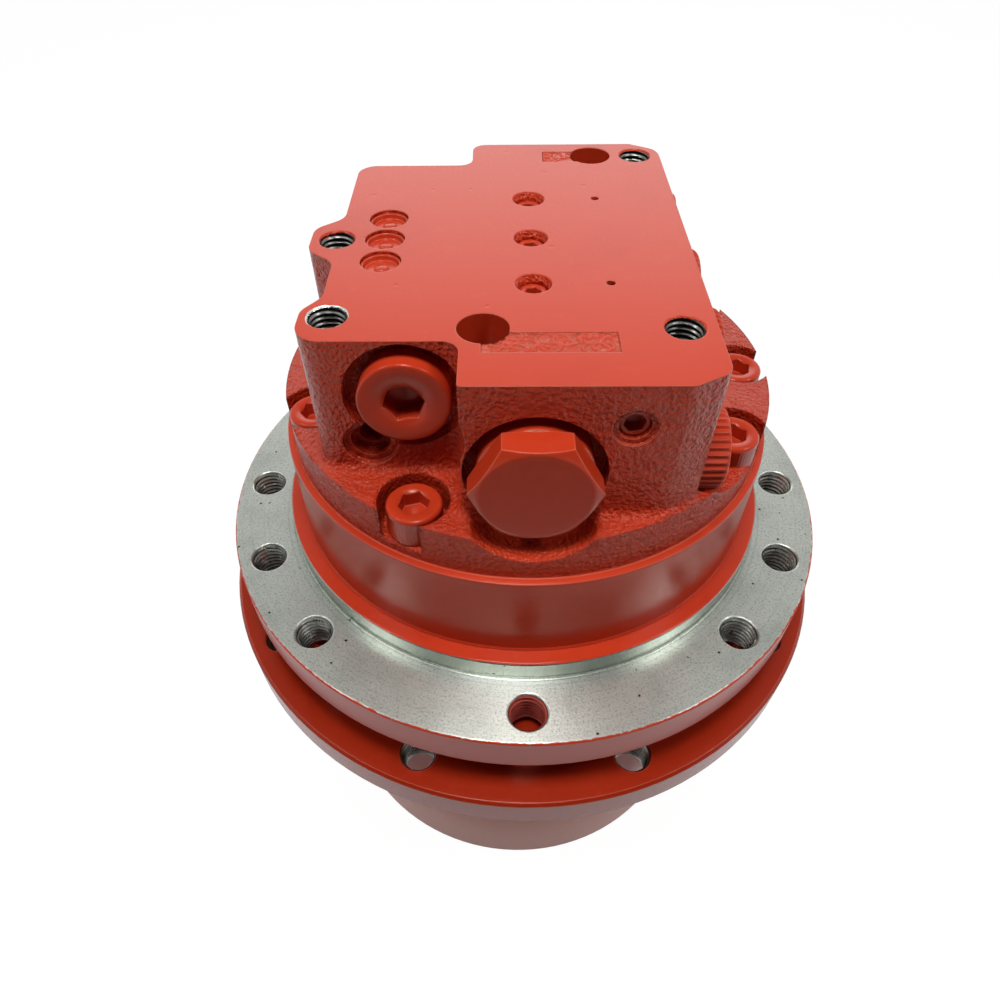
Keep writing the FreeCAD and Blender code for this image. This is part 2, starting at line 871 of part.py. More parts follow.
def motor_body():
    """Spindle, frame flange and pilot in one casting, bored for the rotating group and brake."""
    low = frame_low
    face = frame_face
    half = edge_chamfer / 2
    skirt_low = seal_face + skirt_gap / 2
    relief = pilot_groove / 2
    passage = shaft_socket_radius + shaft_room
    groove = brake_bore + joint_groove_wall
    groove_outer = groove + joint_groove_width
    groove_floor = joint_face - joint_groove_depth
    body = turned([
        (passage, spindle_end), (lower_seat_radius, spindle_end),
        (lower_seat_radius, lower_bearing_high), (upper_seat_radius, lower_bearing_high),
        (upper_seat_radius, upper_bearing_high), (body_neck_radius, upper_bearing_high),
        (body_neck_radius, seal_ceiling), (seal_pocket_radius, seal_ceiling),
        (seal_pocket_radius, skirt_low), (body_skirt_radius, skirt_low), (body_skirt_radius, low),
        (frame_radius - edge_chamfer, low), (frame_radius, low + edge_chamfer),
        (frame_radius, face - half), (frame_radius - half, face),
        (pilot_radius + pilot_groove, face), (pilot_radius + relief, face - relief),
        (pilot_radius, face), (pilot_radius, joint_face - half),
        (pilot_radius - half, joint_face), (groove_outer, joint_face),
        (groove_outer, groove_floor), (groove, groove_floor), (groove, joint_face),
        (brake_bore, joint_face), (brake_bore, brake_step_z), (plate_bore, brake_step_z),
        (plate_bore, plate_seat), (swash_bore, plate_seat), (swash_bore, swash_seat),
        (shaft_bearing_outer, swash_seat), (shaft_bearing_outer, shaft_bearing_low),
        (oil_seal_outer, shaft_bearing_low), (oil_seal_outer, oil_seal_low),
        (passage, oil_seal_low),
    ])
    for angle in frame_hole_angles():
        body = body.cut(threaded_hole(frame_circle, angle, low, face))
    for angle in screw_angles:
        x, y = on_circle(screw_circle, angle)
        body = body.cut(rod(screw_radius + bolt_play, joint_face - screw_engagement - screw_run_out,
                            joint_face + 1, x, y))
    bolt = rod(carrier_bolt_radius + bolt_play, spindle_end - 1,
               spindle_end + carrier_bolt_length + screw_run_out / 2, carrier_bolt_circle, 0)
    for angle in carrier_bolt_angles():
        body = body.cut(spun(bolt, angle))
    return body


# Valve block

def block_outline():
    """Corners of the valve block's machined top face, with the two bolting ears on the left."""
    ear = block_left - ear_reach
    step_back_x = step_x + step_back_shift
    front_ear = block_left - front_ear_reach
    front_ear_back = left_front + front_ear_length
    ear_front = ear_middle - ear_half
    ear_back = ear_middle + ear_half
    return [
        (step_x, block_front, edge_chamfer),
        (block_right - corner_run, block_front, step_rounding),
        (block_right, block_front + corner_rise, step_rounding),
        (block_right, block_back, corner_radius),
        (step_back_x, block_back, step_rounding),
        (step_back_x, left_back, step_rounding),
        (block_left, left_back, ear_rounding),
        (block_left, ear_back + ear_slope, ear_rounding),
        (ear, ear_back, ear_rounding),
        (ear, ear_front, ear_rounding),
        (block_left, ear_front - ear_slope, ear_rounding),
        (block_left, front_ear_back + ear_slope, ear_rounding),
        (front_ear, front_ear_back, ear_rounding),
        (front_ear, left_front, ear_rounding + step_back_shift),
        (step_x, left_front, step_rounding),
    ]


def threaded_blind(radius, depth, x, y):
    """Cutter for a threaded hole down from the block's top face, with a drill point."""
    mouth = radius + thread_chamfer
    cutter = turned([
        (0, block_top + 1), (mouth, block_top + 1), (mouth, block_top),
        (radius, block_top - thread_chamfer), (radius, block_top - depth),
        (0, block_top - depth - radius / 2),
    ])
    cutter.translate(Vector(x, y, 0))
    return cutter


def cover_hole_places():
    """Places of the four threaded holes of the top face: two in the ears, two on the right."""
    right = block_right - right_hole_inset
    return (
        (block_left + front_ear_hole, left_front + front_ear_length - front_ear_hole),
        (block_left - ear_hole, ear_middle),
        (right, block_front + front_hole_inset),
        (right, block_back - back_hole_inset),
    )


def drain_places():
    """Places of the two drain holes of the top face."""
    return (
        (main_plug_x - drain_front_offset, block_front + front_hole_inset),
        (main_plug_x + drain_back_offset, block_back - back_hole_inset),
    )


def cup_places():
    """Places of the three cup plugs of the top face."""
    x = block_left + cup_inset
    return [(x, ear_middle + i * cup_spacing) for i in (-1, 0, 1)]


def set_screw_places():
    """Places of the three set screws over the counterbalance valve."""
    return [(main_plug_x, set_screw_middle + i * set_screw_spacing) for i in (-1, 0, 1)]


def block_pockets():
    """Cutters for the screw pockets and screw holes round the block's foot."""
    cutters = []
    for angle in screw_angles:
        x, y = on_circle(screw_circle, angle)
        cutters.append(rod(screw_pocket_radius, screw_seat, shelf + screw_pocket_rise, x, y))
        cutters.append(rod(screw_radius + bolt_play, joint_face - 1, screw_seat + 1, x, y))
    return cutters


def valve_cutters(front, back, x, z, pocket, bore, depth, spool):
    """Cutters for one valve from front to back: a pocket and a bore at each end, a spool hole."""
    reach = casting_radius
    return [
        rod_y(pocket, front - reach, front, x, z),
        rod_y(pocket, back, back + reach, x, z),
        rod_y(bore, front - 1, front + depth, x, z),
        rod_y(bore, back - depth, back + 1, x, z),
        rod_y(spool + fit, front, back, x, z),
    ]


def plug_troughs():
    """Cutters for the cast troughs in the foot, under the two hexagon plugs."""
    reach = casting_radius
    radius = main_trough_radius
    return [
        rod_y(radius, -reach, block_front, main_plug_x, main_plug_z),
        rod_y(radius, block_back, reach, main_plug_x, main_plug_z),
    ]


def top_cutters():
    """Cutters for the holes and the two shallow recesses of the top face."""
    cutters = [threaded_blind(cover_thread_radius, cover_thread_depth, x, y)
               for x, y in cover_hole_places()]
    cutters += [rod(drain_radius, block_top - drain_depth, block_top + 1, x, y)
                for x, y in drain_places()]
    for x, y in cup_places():
        cutters.append(rod(cup_radius, block_top - cup_depth, block_top + 1, x, y))
        cutters.append(rod(cup_radius - cup_ledge, speed_plug_z, block_top, x, y))
    for x, y in set_screw_places():
        cutters.append(rod(set_screw_radius, main_plug_z, block_top + 1, x, y))
        sink = turned([
            (0, block_top + 1), (set_screw_sink_radius, block_top + 1),
            (set_screw_sink_radius, block_top), (set_screw_radius, block_top - set_screw_sink),
            (0, block_top - set_screw_sink),
        ])
        sink.translate(Vector(x, y, 0))
        cutters.append(sink)
    x = main_plug_x + pin_hole_offset
    for y in (set_screw_middle - set_screw_spacing, set_screw_middle + set_screw_spacing):
        cutters.append(rod(pin_hole_radius, block_top - pin_hole_depth, block_top + 1, x, y))
    left = step_x + label_offset
    front = block_front + label_inset
    floor = block_top - label_recess_depth
    cutters.append(box((left, front, floor),
                       (left + label_length, front + label_width, block_top + 1)))
    left = step_x + rear_label_offset
    back = block_back - rear_label_inset
    cutters.append(box((left, back - rear_label_width, floor),
                       (left + rear_label_length, back, block_top + 1)))
    return cutters


def side_cutters():
    """Cutters for the ports on the right side and the holes of the two front faces."""
    cutters = []
    port_end = block_right - port_depth
    for y, drop in main_ports:
        z = block_top - drop
        cutters.append(rod_x(port_radius, port_end, block_right + 1, y, z))
        cutters.append(rod_x(port_cap_radius + port_cap_room, block_right, casting_radius, y, z))
    y, drop = pilot_port
    cutters.append(rod_x(pilot_port_radius, port_end, block_right + 1, y, block_top - drop))
    x, drop = gauge_plug_place
    z = block_top - drop
    floor = block_front + gauge_sink_depth
    cutters.append(rod_y(gauge_sink_radius, block_front - 1, floor, x, z))
    cutters.append(rod_y(gauge_plug_radius, block_front, floor + gauge_hole_depth, x, z))
    x, drop = side_port_place
    for radius, depth in side_port_steps:
        cutters.append(rod_y(radius, left_front - 1, left_front + depth, x, block_top - drop))
    return cutters


def block_casting():
    """Round foot and stepped block, joined by a cast cove."""
    half = turned_line / 2
    turned_foot = turned([
        (0, joint_face), (skirt_radius + turned_line, joint_face),
        (skirt_radius + turned_line, joint_face + half),
        (skirt_radius, joint_face + 2 * turned_line), (skirt_radius, ledge - edge_chamfer),
        (skirt_radius - edge_chamfer / 4, ledge - edge_chamfer / 4),
        (skirt_radius - edge_chamfer, ledge), (casting_radius + turned_line, ledge),
        (casting_radius + half, ledge - half), (casting_radius, ledge),
        (casting_radius, shelf - cast_rounding),
        (casting_radius - cast_rounding / 4, shelf - cast_rounding / 4),
        (casting_radius - cast_rounding, shelf), (0, shelf),
    ])
    wide = 2 * casting_radius
    plate = box((-wide, -wide, ledge), (wide, wide, shelf))
    upper = rounded_outline(block_outline(), shelf - 1).extrude(Vector(0, 0, block_rise + 1))
    body = plate.fuse(upper).removeSplitter()
    foot_edges = [edge for edge in body.Edges if on_shelf(edge) and edge.Length < wide]
    body = body.makeFillet(cast_rounding, foot_edges)
    body = body.common(rod(casting_radius, ledge, block_top))
    return turned_foot.fuse(body).removeSplitter()


def on_shelf(edge):
    """Whether an edge lies in the foot's upper face."""
    bound = edge.BoundBox
    return abs(bound.ZMin - shelf) < fit and abs(bound.ZMax - shelf) < fit


def valve_block():
    """Cast valve block with its bores, pockets and holes."""
    body = block_casting()
    cutters = block_pockets()
    cutters += valve_cutters(main_front, main_back, main_plug_x, main_plug_z, main_pocket_radius,
                             main_bore_radius, main_bore_depth, main_spool_radius)
    cutters += valve_cutters(speed_front, speed_back, speed_plug_x, speed_plug_z,
                             speed_pocket_radius, speed_bore_radius, speed_bore_depth,
                             speed_spool_radius)
    cutters += top_cutters() + side_cutters() + plug_troughs()
    cutters.append(rod(tail_bearing_radius, joint_face - 1, tail_high + 1))
    for cutter in cutters:
        body = body.cut(cutter)
    return body


def block_screws():
    """Cap screws that hold the valve block to the motor body."""
    screws = []
    for angle in screw_angles:
        x, y = on_circle(screw_circle, angle)
        screw = socket_screw(screw_radius, screw_head_radius, screw_head_height, screw_socket,
                             screw_seat, joint_face - screw_engagement, 1)
        screw.translate(Vector(x, y, 0))
        screws.append(screw)
    return screws


def main_plug(side):
    """Hexagon-head plug of the counterbalance valve, hollow for its spring."""
    face = main_front if side < 0 else main_back
    head_end = main_pocket_depth + main_plug_proud
    head_low = head_end - main_plug_head
    corner = main_plug_flats / math.sqrt(3) + 1
    flat = main_plug_flats / 2
    head = hexagon(main_plug_flats, head_low, head_end)
    rear = head_low + main_plug_rear_chamfer
    crown = turned([
        (0, head_low), (flat + thread_chamfer, head_low), (corner, rear),
        (corner, head_end - main_plug_chamfer), (flat - thread_chamfer, head_end),
        (0, head_end),
    ])
    collar = rod(flat + thread_chamfer, 0, head_low)
    stem = rod(main_bore_radius - fit, main_plug_gap - main_bore_depth, 0)
    body = head.common(crown).fuse(collar).fuse(stem)
    hollow = rod(main_spool_radius + main_spring_wire, -main_bore_depth, -main_plug_floor)
    return lay_along_y(body.cut(hollow).removeSplitter(), main_plug_x, face, main_plug_z, side)


def speed_plug(side):
    """Round plug of the travel speed valve, with a hexagon socket."""
    face = speed_front if side < 0 else speed_back
    end = speed_pocket_depth + speed_plug_proud
    disc = turned([
        (0, 0), (speed_plug_radius, 0), (speed_plug_radius, end - edge_chamfer),
        (speed_plug_radius - edge_chamfer, end), (0, end),
    ])
    stem = rod(speed_bore_radius - fit, speed_plug_gap - speed_bore_depth, 0)
    body = disc.fuse(stem).cut(hexagon(speed_plug_flats, end - speed_plug_socket, end + 1))
    body = body.cut(rod(speed_spool_radius, -speed_bore_depth, -speed_plug_floor))
    return lay_along_y(body, speed_plug_x, face, speed_plug_z, side)


def expander_plugs():
    """Cup plugs pressed into the top face over the speed valve's drillings."""
    low = block_top - cup_depth
    inner = cup_radius - cup_wall
    cup = turned([
        (0, low), (cup_radius - fit, low), (cup_radius - fit, block_top - cup_wall),
        (inner, block_top - cup_wall), (inner, low + cup_wall), (cup_button, low + cup_wall),
        (cup_button, low + 2 * cup_wall - clear), (0, low + 2 * cup_wall - clear),
    ])
    plugs = []
    for x, y in cup_places():
        plug = cup.copy()
        plug.translate(Vector(x, y, 0))
        plugs.append(plug)
    return plugs


def set_screws():
    """Socket set screws sunk in the top face over the counterbalance valve."""
    high = block_top - set_screw_drop
    screw = rod(set_screw_radius - fit, high - set_screw_length, high)
    screw = screw.cut(hexagon(set_screw_radius, high - set_screw_socket, high + 1))
    screws = []
    for x, y in set_screw_places():
        copy = screw.copy()
        copy.translate(Vector(x, y, 0))
        screws.append(copy)
    return screws


def gauge_plug():
    """Socket plug sunk in the front face."""
    x, drop = gauge_plug_place
    plug = rod(gauge_plug_radius - fit, -gauge_plug_length, 0)
    plug = plug.cut(hexagon(gauge_plug_flats, -gauge_plug_socket, 1))
    return lay_along_y(plug, x, block_front + gauge_plug_drop, block_top - drop, -1)


def port_cap(radius, stem, height):
    """Push-in port cap with a ribbed rim."""
    rim = []
    for angle in evenly(port_cap_ribs):
        rim.append(on_circle(radius, angle))
        rim.append(on_circle(radius - port_cap_rib_depth, angle + 180.0 / port_cap_ribs))
    body = prism(rim, 0, height)
    dome = turned([
        (0, 0), (radius + 1, 0), (radius + 1, height - port_cap_slope),
        (radius - port_cap_slope / 2, height), (0, height),
    ])
    stalk = rod(stem - fit, port_cap_stem - port_depth, 0)
    return body.common(dome).fuse(stalk).removeSplitter()


def main_port_caps():
    """Caps on the three large ports of the right side."""
    return [lay_along_x(port_cap(port_cap_radius, port_radius, port_cap_height),
                        block_right, y, block_top - drop) for y, drop in main_ports]


def pilot_port_cap():
    """Cap on the small pilot port."""
    y, drop = pilot_port
    return lay_along_x(port_cap(pilot_cap_radius, pilot_port_radius, pilot_cap_height),
                       block_right, y, block_top - drop)


def main_spool():
    """Counterbalance spool with three lands."""
    end = main_spool_length / 2
    land = end - main_spool_land
    middle_land = main_spool_land / 2 + 1
    wide = main_spool_radius
    neck = main_spool_radius - main_spool_neck
    profile = [(0, -end), (wide, -end), (wide, -land), (neck, -land), (neck, -middle_land),
               (wide, -middle_land), (wide, middle_land), (neck, middle_land), (neck, land),
               (wide, land), (wide, end), (0, end)]
    return lay_along_y(turned(profile), main_plug_x, main_middle, main_plug_z, -1)


def main_springs():
    """Centring springs at both ends of the counterbalance spool."""
    deep = main_back - main_middle - main_plug_floor - clear
    near = main_spool_length / 2 + main_spool_travel + clear
    spring = coil(main_spool_radius - main_spool_neck, main_spring_wire, near, deep,
                  main_spring_turns)
    return [lay_along_y(spring, main_plug_x, main_middle, main_plug_z, side) for side in (-1, 1)]


def coil(radius, wire, low, high, turns):
    """Spring of square wire, wound in straight runs between its two ends."""
    count = spring_sides * turns
    rise = (high - low - wire) / count
    half = wire / 2
    rungs = []
    for i in range(count + 1):
        turn = 2 * math.pi * i / spring_sides
        z = low + half + rise * i
        corners = []
        for out, up in ((-half, -half), (half, -half), (half, half), (-half, half)):
            reach = radius + out
            corners.append(Vector(reach * math.cos(turn), reach * math.sin(turn), z + up))
        rungs.append(corners)
    faces = []
    for first, second in zip(rungs, rungs[1:]):
        for k in range(4):
            a, b = first[k], first[(k + 1) % 4]
            c, d = second[(k + 1) % 4], second[k]
            faces.append(Part.Face(Part.makePolygon([a, b, c, a])))
            faces.append(Part.Face(Part.makePolygon([a, c, d, a])))
    for corners in (rungs[0], rungs[-1]):
        faces.append(Part.Face(Part.makePolygon(corners + corners[:1])))
    solid = Part.Solid(Part.Shell(faces))
    if solid.Volume < 0:
        solid.reverse()
    return solid


def speed_spool():
    """Travel speed spool with two lands."""
    end = (speed_back - speed_front) / 2 - speed_bore_depth + speed_spool_reach
    wide = speed_spool_radius - fit
    neck = speed_spool_radius - speed_spool_neck
    half = speed_spool_waist / 2
    profile = [(0, -end), (wide, -end), (wide, -half), (neck, -half), (neck, half),
               (wide, half), (wide, end), (0, end)]
    middle = (speed_front + speed_back) / 2
    return lay_along_y(turned(profile), speed_plug_x, middle, speed_plug_z, -1)


def block_seal_ring():
    """Rubber ring between the motor body and the valve block."""
    radius = brake_bore + joint_groove_wall + joint_groove_width / 2
    return cord_ring(radius, joint_cord_radius, joint_face - joint_groove_depth / 2)


# Rotating group and brake

def drive_shaft():
    """Motor shaft: socket for the pinion, journal for the cylinder block, tail journal."""
    bore = pinion_spline_radius + fit
    socket_end = shaft_socket_low + pinion_spline_length + edge_chamfer
    return turned([
        (bore, shaft_socket_low), (shaft_socket_radius, shaft_socket_low),
        (shaft_socket_radius, shaft_bearing_high), (shaft_radius, shaft_bearing_high),
        (shaft_radius, valve_plate_low), (shaft_tail_radius, valve_plate_low),
        (shaft_tail_radius, tail_high), (0, tail_high), (0, socket_end), (bore, socket_end),
    ])


def piston_angles():
    """Angles of the pistons."""
    return evenly(piston_count, 90.0)


def cylinder_block():
    """Barrel with one bore for each piston."""
    body = tube(shaft_radius + fit, cylinder_radius, cylinder_low, cylinder_high)
    bore = rod(piston_radius + fit, cylinder_low - 1, cylinder_high - cylinder_floor,
               piston_circle, 0)
    for angle in piston_angles():
        body = body.cut(spun(bore, angle))
    return body


def pistons():
    """Pistons, each with a narrow neck that holds its shoe."""
    top = cylinder_low + piston_length
    neck_low = shoe_high - shoe_socket
    piston = turned([
        (0, neck_low), (piston_neck_radius, neck_low),
        (piston_neck_radius, cylinder_low - piston_taper),
        (piston_radius, cylinder_low + piston_taper), (piston_radius, top), (0, top),
    ])
    piston.translate(Vector(piston_circle, 0, 0))
    return ring_of(piston, piston_angles())


def piston_shoes():
    """Slipper shoes at the pistons' feet."""
    inner = piston_neck_radius + fit
    socket = shoe_high - shoe_socket
    collar_high = cylinder_low - piston_taper - clear
    shoe = turned([
        (0, shoe_low), (shoe_radius, shoe_low), (shoe_radius, shoe_high),
        (shoe_collar_radius, shoe_high), (shoe_collar_radius, collar_high),
        (inner, collar_high), (inner, socket), (0, socket),
    ])
    shoe.translate(Vector(piston_circle, 0, 0))
    return ring_of(shoe, piston_angles())


def shoe_retainer():
    """Plate that holds the shoes to the swash plate."""
    low = shoe_high + 2 * fit
    high = low + retainer_thickness
    body = tube(guide_radius + 2 * fit, cylinder_radius - clear, low, high)
    hole = rod(shoe_collar_radius + 2 * fit, low - 1, high + 1, piston_circle, 0)
    for angle in piston_angles():
        body = body.cut(spun(hole, angle))
    return body


def ball_guide():
    """Guide on the shaft that presses on the retainer."""
    bore = shaft_radius + fit
    top = cylinder_low - clear
    return turned([
        (bore, shoe_low), (guide_radius - 1, shoe_low + 1), (guide_radius, shoe_high),
        (guide_radius, shoe_high + 1), (guide_radius - 1.5, top), (bore, top),
    ])


def swash_plate():
    """Wedge that the shoes slide on, with its face tilted about X."""
    top = swash_middle + swash_radius
    body = tube(shaft_radius + swash_room, swash_radius, swash_seat, top)
    size = 4 * swash_radius
    above = Part.makeBox(size, size, size, Vector(-size / 2, -size / 2, 0))
    above.rotate(Vector(0, 0, 0), Vector(1, 0, 0), swash_angle)
    above.translate(Vector(0, 0, swash_middle))
    return body.cut(above)


def valve_plate():
    """Port plate between the cylinder block and the valve block, with two kidney slots."""
    low = valve_plate_low - 1
    high = joint_face + 1
    body = tube(tail_bearing_radius, cylinder_radius, valve_plate_low, joint_face)
    slot = tube(piston_circle - kidney_width / 2, piston_circle + kidney_width / 2, low, high)
    web = box((-kidney_web / 2, -cylinder_radius, low), (kidney_web / 2, cylinder_radius, high))
    return body.cut(slot.cut(web))


def friction_discs():
    """Brake discs that turn with the cylinder block."""
    pitch = disc_thickness + disc_gap
    lows = [plate_seat + (2 * i + 1) * pitch for i in range(disc_count)]
    outer = cylinder_radius + disc_ring_width
    return [tube(cylinder_radius + fit, outer, low, low + disc_thickness) for low in lows]


def brake_plates():
    """Brake plates held in the motor body."""
    pitch = disc_thickness + disc_gap
    lows = [plate_seat + 2 * i * pitch for i in range(disc_count + 1)]
    inner = cylinder_radius + brake_piston_gap
    return [tube(inner, plate_bore - fit, low, low + disc_thickness) for low in lows]


def brake_piston():
    """Stepped ring piston that oil lifts off the brake plates."""
    inner = cylinder_radius + brake_piston_gap
    step = brake_step_z + brake_step_gap
    return turned([
        (inner, brake_low), (plate_bore - fit, brake_low), (plate_bore - fit, step),
        (brake_bore - fit, step), (brake_bore - fit, brake_high), (inner, brake_high),
    ])


def brake_spring():
    """Disc spring between the brake piston and the valve block."""
    low = brake_high + brake_travel + disc_gap
    high = joint_face - disc_gap / 2
    inner = cylinder_radius + brake_piston_gap + brake_spring_wall
    outer = brake_bore - brake_spring_wall
    return turned([
        (inner, high - brake_spring_wall), (outer, low), (outer, low + brake_spring_wall),
        (inner, high),
    ])


def shaft_bearing():
    """Outer ring, inner ring and rollers of the shaft's lower bearing."""
    low = shaft_bearing_low
    high = shaft_bearing_high
    inner = shaft_socket_radius + shaft_race_thickness
    outer = shaft_bearing_outer - shaft_race_thickness
    radius = (outer - inner) / 2 - 2 * fit
    roller = rod(radius, low + shaft_roller_inset, high - shaft_roller_inset,
                 (inner + outer) / 2, 0)
    return (tube(outer, shaft_bearing_outer - fit, low, high),
            tube(shaft_socket_radius + fit, inner, low, high),
            ring_of(roller, evenly(shaft_roller_count)))


def save_planets(name, teeth, low, high, orbit, angles, pin):
    """Write the three planets of one stage, each in its own file."""
    for letter, angle in zip("abc", angles):
        save(name + letter, *planet(teeth, low, high, orbit, angle, pin))


def main():
    """Build every piece and write its file."""
    os.makedirs("parts", exist_ok=True)
    save("hub", hub())
    save("ring_gear", ring_gear())
    save("gear_cover", gear_cover())
    save("cover_snap_ring", cover_snap_ring())
    save("cover_seal_ring", cover_seal_ring())
    save("oil_plugs", *oil_plugs())
    save("main_bearing_outer_races", *outer_races())
    save("main_bearing_inner_races", *inner_races())
    save("main_bearing_rollers", *bearing_rollers())
    save("face_seal_hub_half", *seal_half(-1))
    save("face_seal_body_half", *seal_half(1))
    save("motor_body", motor_body())
    save("carrier_2", carrier_2())
    save("carrier_2_bolts", *carrier_bolts())
    save("planet_pins_2", *planet_pins(pin_2_radius, planet_2_low, spindle_end - pin_2_cap,
                                       planet_2_orbit, planet_2_angles))
    save("carrier_1", carrier_1())
    save("planet_pins_1", *planet_pins(pin_1_radius, planet_1_low, carrier_1_high,
                                       planet_1_orbit, planet_1_angles))
    save("sun_gear_1", sun_gear_1())
    save("sun_gear_2", sun_gear_2())
    save_planets("planet_gear_1", planet_1_teeth, planet_1_low, planet_1_high, planet_1_orbit,
                 planet_1_angles, pin_1_radius)
    save_planets("planet_gear_2", planet_2_teeth, planet_2_low, planet_2_high, planet_2_orbit,
                 planet_2_angles, pin_2_radius)
    save("valve_block", valve_block())
    save("block_screws", *block_screws())
    save("block_seal_ring", block_seal_ring())
    save("main_plug_front", main_plug(-1))
    save("main_plug_rear", main_plug(1))
    save("speed_plug_front", speed_plug(-1))
    save("speed_plug_rear", speed_plug(1))
    save("expander_plugs", *expander_plugs())
    save("set_screws", *set_screws())
    save("gauge_plug", gauge_plug())
    save("main_port_caps", *main_port_caps())
    save("pilot_port_cap", pilot_port_cap())
    save("counterbalance_spool", main_spool())
    save("counterbalance_springs", *main_springs())
    save("speed_spool", speed_spool())
    save("drive_shaft", drive_shaft())
    save("cylinder_block", cylinder_block())
    save("pistons", *pistons())
    save("piston_shoes", *piston_shoes())
    save("shoe_retainer", shoe_retainer())
    save("ball_guide", ball_guide())
    save("swash_plate", swash_plate())
    save("valve_plate", valve_plate())
    save("friction_discs", *friction_discs())
    save("brake_plates", *brake_plates())
    save("brake_piston", brake_piston())
    save("brake_spring", brake_spring())
    save("oil_seal", tube(shaft_socket_radius + 2 * fit, oil_seal_outer - fit, oil_seal_low,
                          oil_seal_high))
    outer_ring, inner_ring, rollers = shaft_bearing()
    save("shaft_bearing_outer_ring", outer_ring)
    save("shaft_bearing_inner_ring", inner_ring)
    save("shaft_bearing_rollers", *rollers)
    save("needle_bearing", tube(shaft_tail_radius + fit, tail_bearing_radius - fit, joint_face,
                                tail_high - edge_chamfer))


main()
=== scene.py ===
import json
import logging
import math
from dataclasses import dataclass
from enum import Enum
from typing import Optional, Sequence

import bpy
import numpy as np
from mathutils import Matrix, Vector


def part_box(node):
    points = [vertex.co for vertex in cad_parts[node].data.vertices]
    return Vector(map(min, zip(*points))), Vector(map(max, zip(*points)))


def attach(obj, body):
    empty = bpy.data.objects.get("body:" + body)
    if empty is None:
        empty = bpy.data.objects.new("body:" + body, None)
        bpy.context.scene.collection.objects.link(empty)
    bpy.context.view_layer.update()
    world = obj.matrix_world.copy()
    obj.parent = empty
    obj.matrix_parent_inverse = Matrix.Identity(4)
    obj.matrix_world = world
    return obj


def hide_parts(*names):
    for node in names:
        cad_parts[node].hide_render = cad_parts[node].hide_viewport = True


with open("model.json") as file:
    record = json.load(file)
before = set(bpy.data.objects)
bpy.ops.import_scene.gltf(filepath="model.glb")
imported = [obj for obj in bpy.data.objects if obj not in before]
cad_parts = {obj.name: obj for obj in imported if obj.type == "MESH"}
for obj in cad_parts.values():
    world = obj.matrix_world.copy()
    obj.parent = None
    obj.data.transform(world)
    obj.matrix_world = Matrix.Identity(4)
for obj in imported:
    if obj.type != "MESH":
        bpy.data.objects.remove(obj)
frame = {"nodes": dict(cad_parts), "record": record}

logging.basicConfig(level=logging.INFO, format="%(message)s")
log = logging.getLogger("track_drive")

MM = 0.001
Colour = tuple[float, float, float]
WHITE: Colour = (1.0, 1.0, 1.0)


class Axis(Enum):
    """Direction that a turned fitting's own axis points in, as the matrix that lays it so."""

    UP = ((1, 0, 0), (0, 1, 0), (0, 0, 1))
    FRONT = ((1, 0, 0), (0, 0, -1), (0, 1, 0))
    BACK = ((1, 0, 0), (0, 0, 1), (0, -1, 0))
    RIGHT = ((0, 0, 1), (0, 1, 0), (-1, 0, 0))


class Body(Enum):
    """Bodies of the frame that the new pieces ride on."""

    FRAME_SIDE = "frame_side"
    HUB_SIDE = "hub_side"


class Slot(Enum):
    """Material slots of the record, listed with the new pieces but not given to them here."""

    CAST = "red_cast"
    HUB = "red_hub"
    FASTENER = "red_fastener"
    CAP = "red_cap"


def mount(name: str) -> dict:
    """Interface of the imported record, by its name.

    Args:
        name: Name of the mount in the record.

    Returns:
        The mount's entry.
    """
    return next(m for m in frame["record"]["mounts"] if m["name"] == name)


@dataclass(frozen=True)
class Levels:
    """Heights and radii of the drive, in metres.

    The frame gives the faces and radii. Named here are the thickness of each flange, the rise of
    the block's ledge and shelf above the joint face, and the share of the drum painted pale as a
    reflection.
    """

    frame_flange: float = 14.8 * MM
    sprocket_flange: float = 13.5 * MM
    ledge_rise: float = 32.4 * MM
    shelf_rise: float = 46.7 * MM
    pale_share: float = 0.34
    frame_face: float = mount("frame_face")["pos_m"][2]
    frame_radius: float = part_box("motor_body")[1].x
    pilot_radius: float = mount("frame_pilot")["dims"]["r_mm"] * MM
    joint_face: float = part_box("valve_block")[0].z
    block_top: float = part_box("valve_block")[1].z
    sprocket_low: float = mount("sprocket_face")["pos_m"][2]

    @property
    def frame_low(self) -> float:
        """Underside of the frame flange."""
        return self.frame_face - self.frame_flange

    @property
    def sprocket_top(self) -> float:
        """Upper face of the sprocket flange."""
        return self.sprocket_low + self.sprocket_flange

    @property
    def ledge(self) -> float:
        """Top of the valve block's turned skirt."""
        return self.joint_face + self.ledge_rise

    @property
    def shelf(self) -> float:
        """Top of the valve block's foot."""
        return self.joint_face + self.shelf_rise

    @property
    def drum_line(self) -> float:
        """Height under which the drum's paint is painted pale, a painted reflection."""
        return self.pale_share * self.sprocket_low


LEVELS = Levels()


@dataclass(frozen=True)
class Drain:
    """Plain drain hole through the valve block's top face, in millimetres."""

    x: float
    y: float
    radius: float = 6.7


FRONT_DRAIN = Drain(-12.8, -44.0)
REAR_DRAIN = Drain(22.1, 59.4)


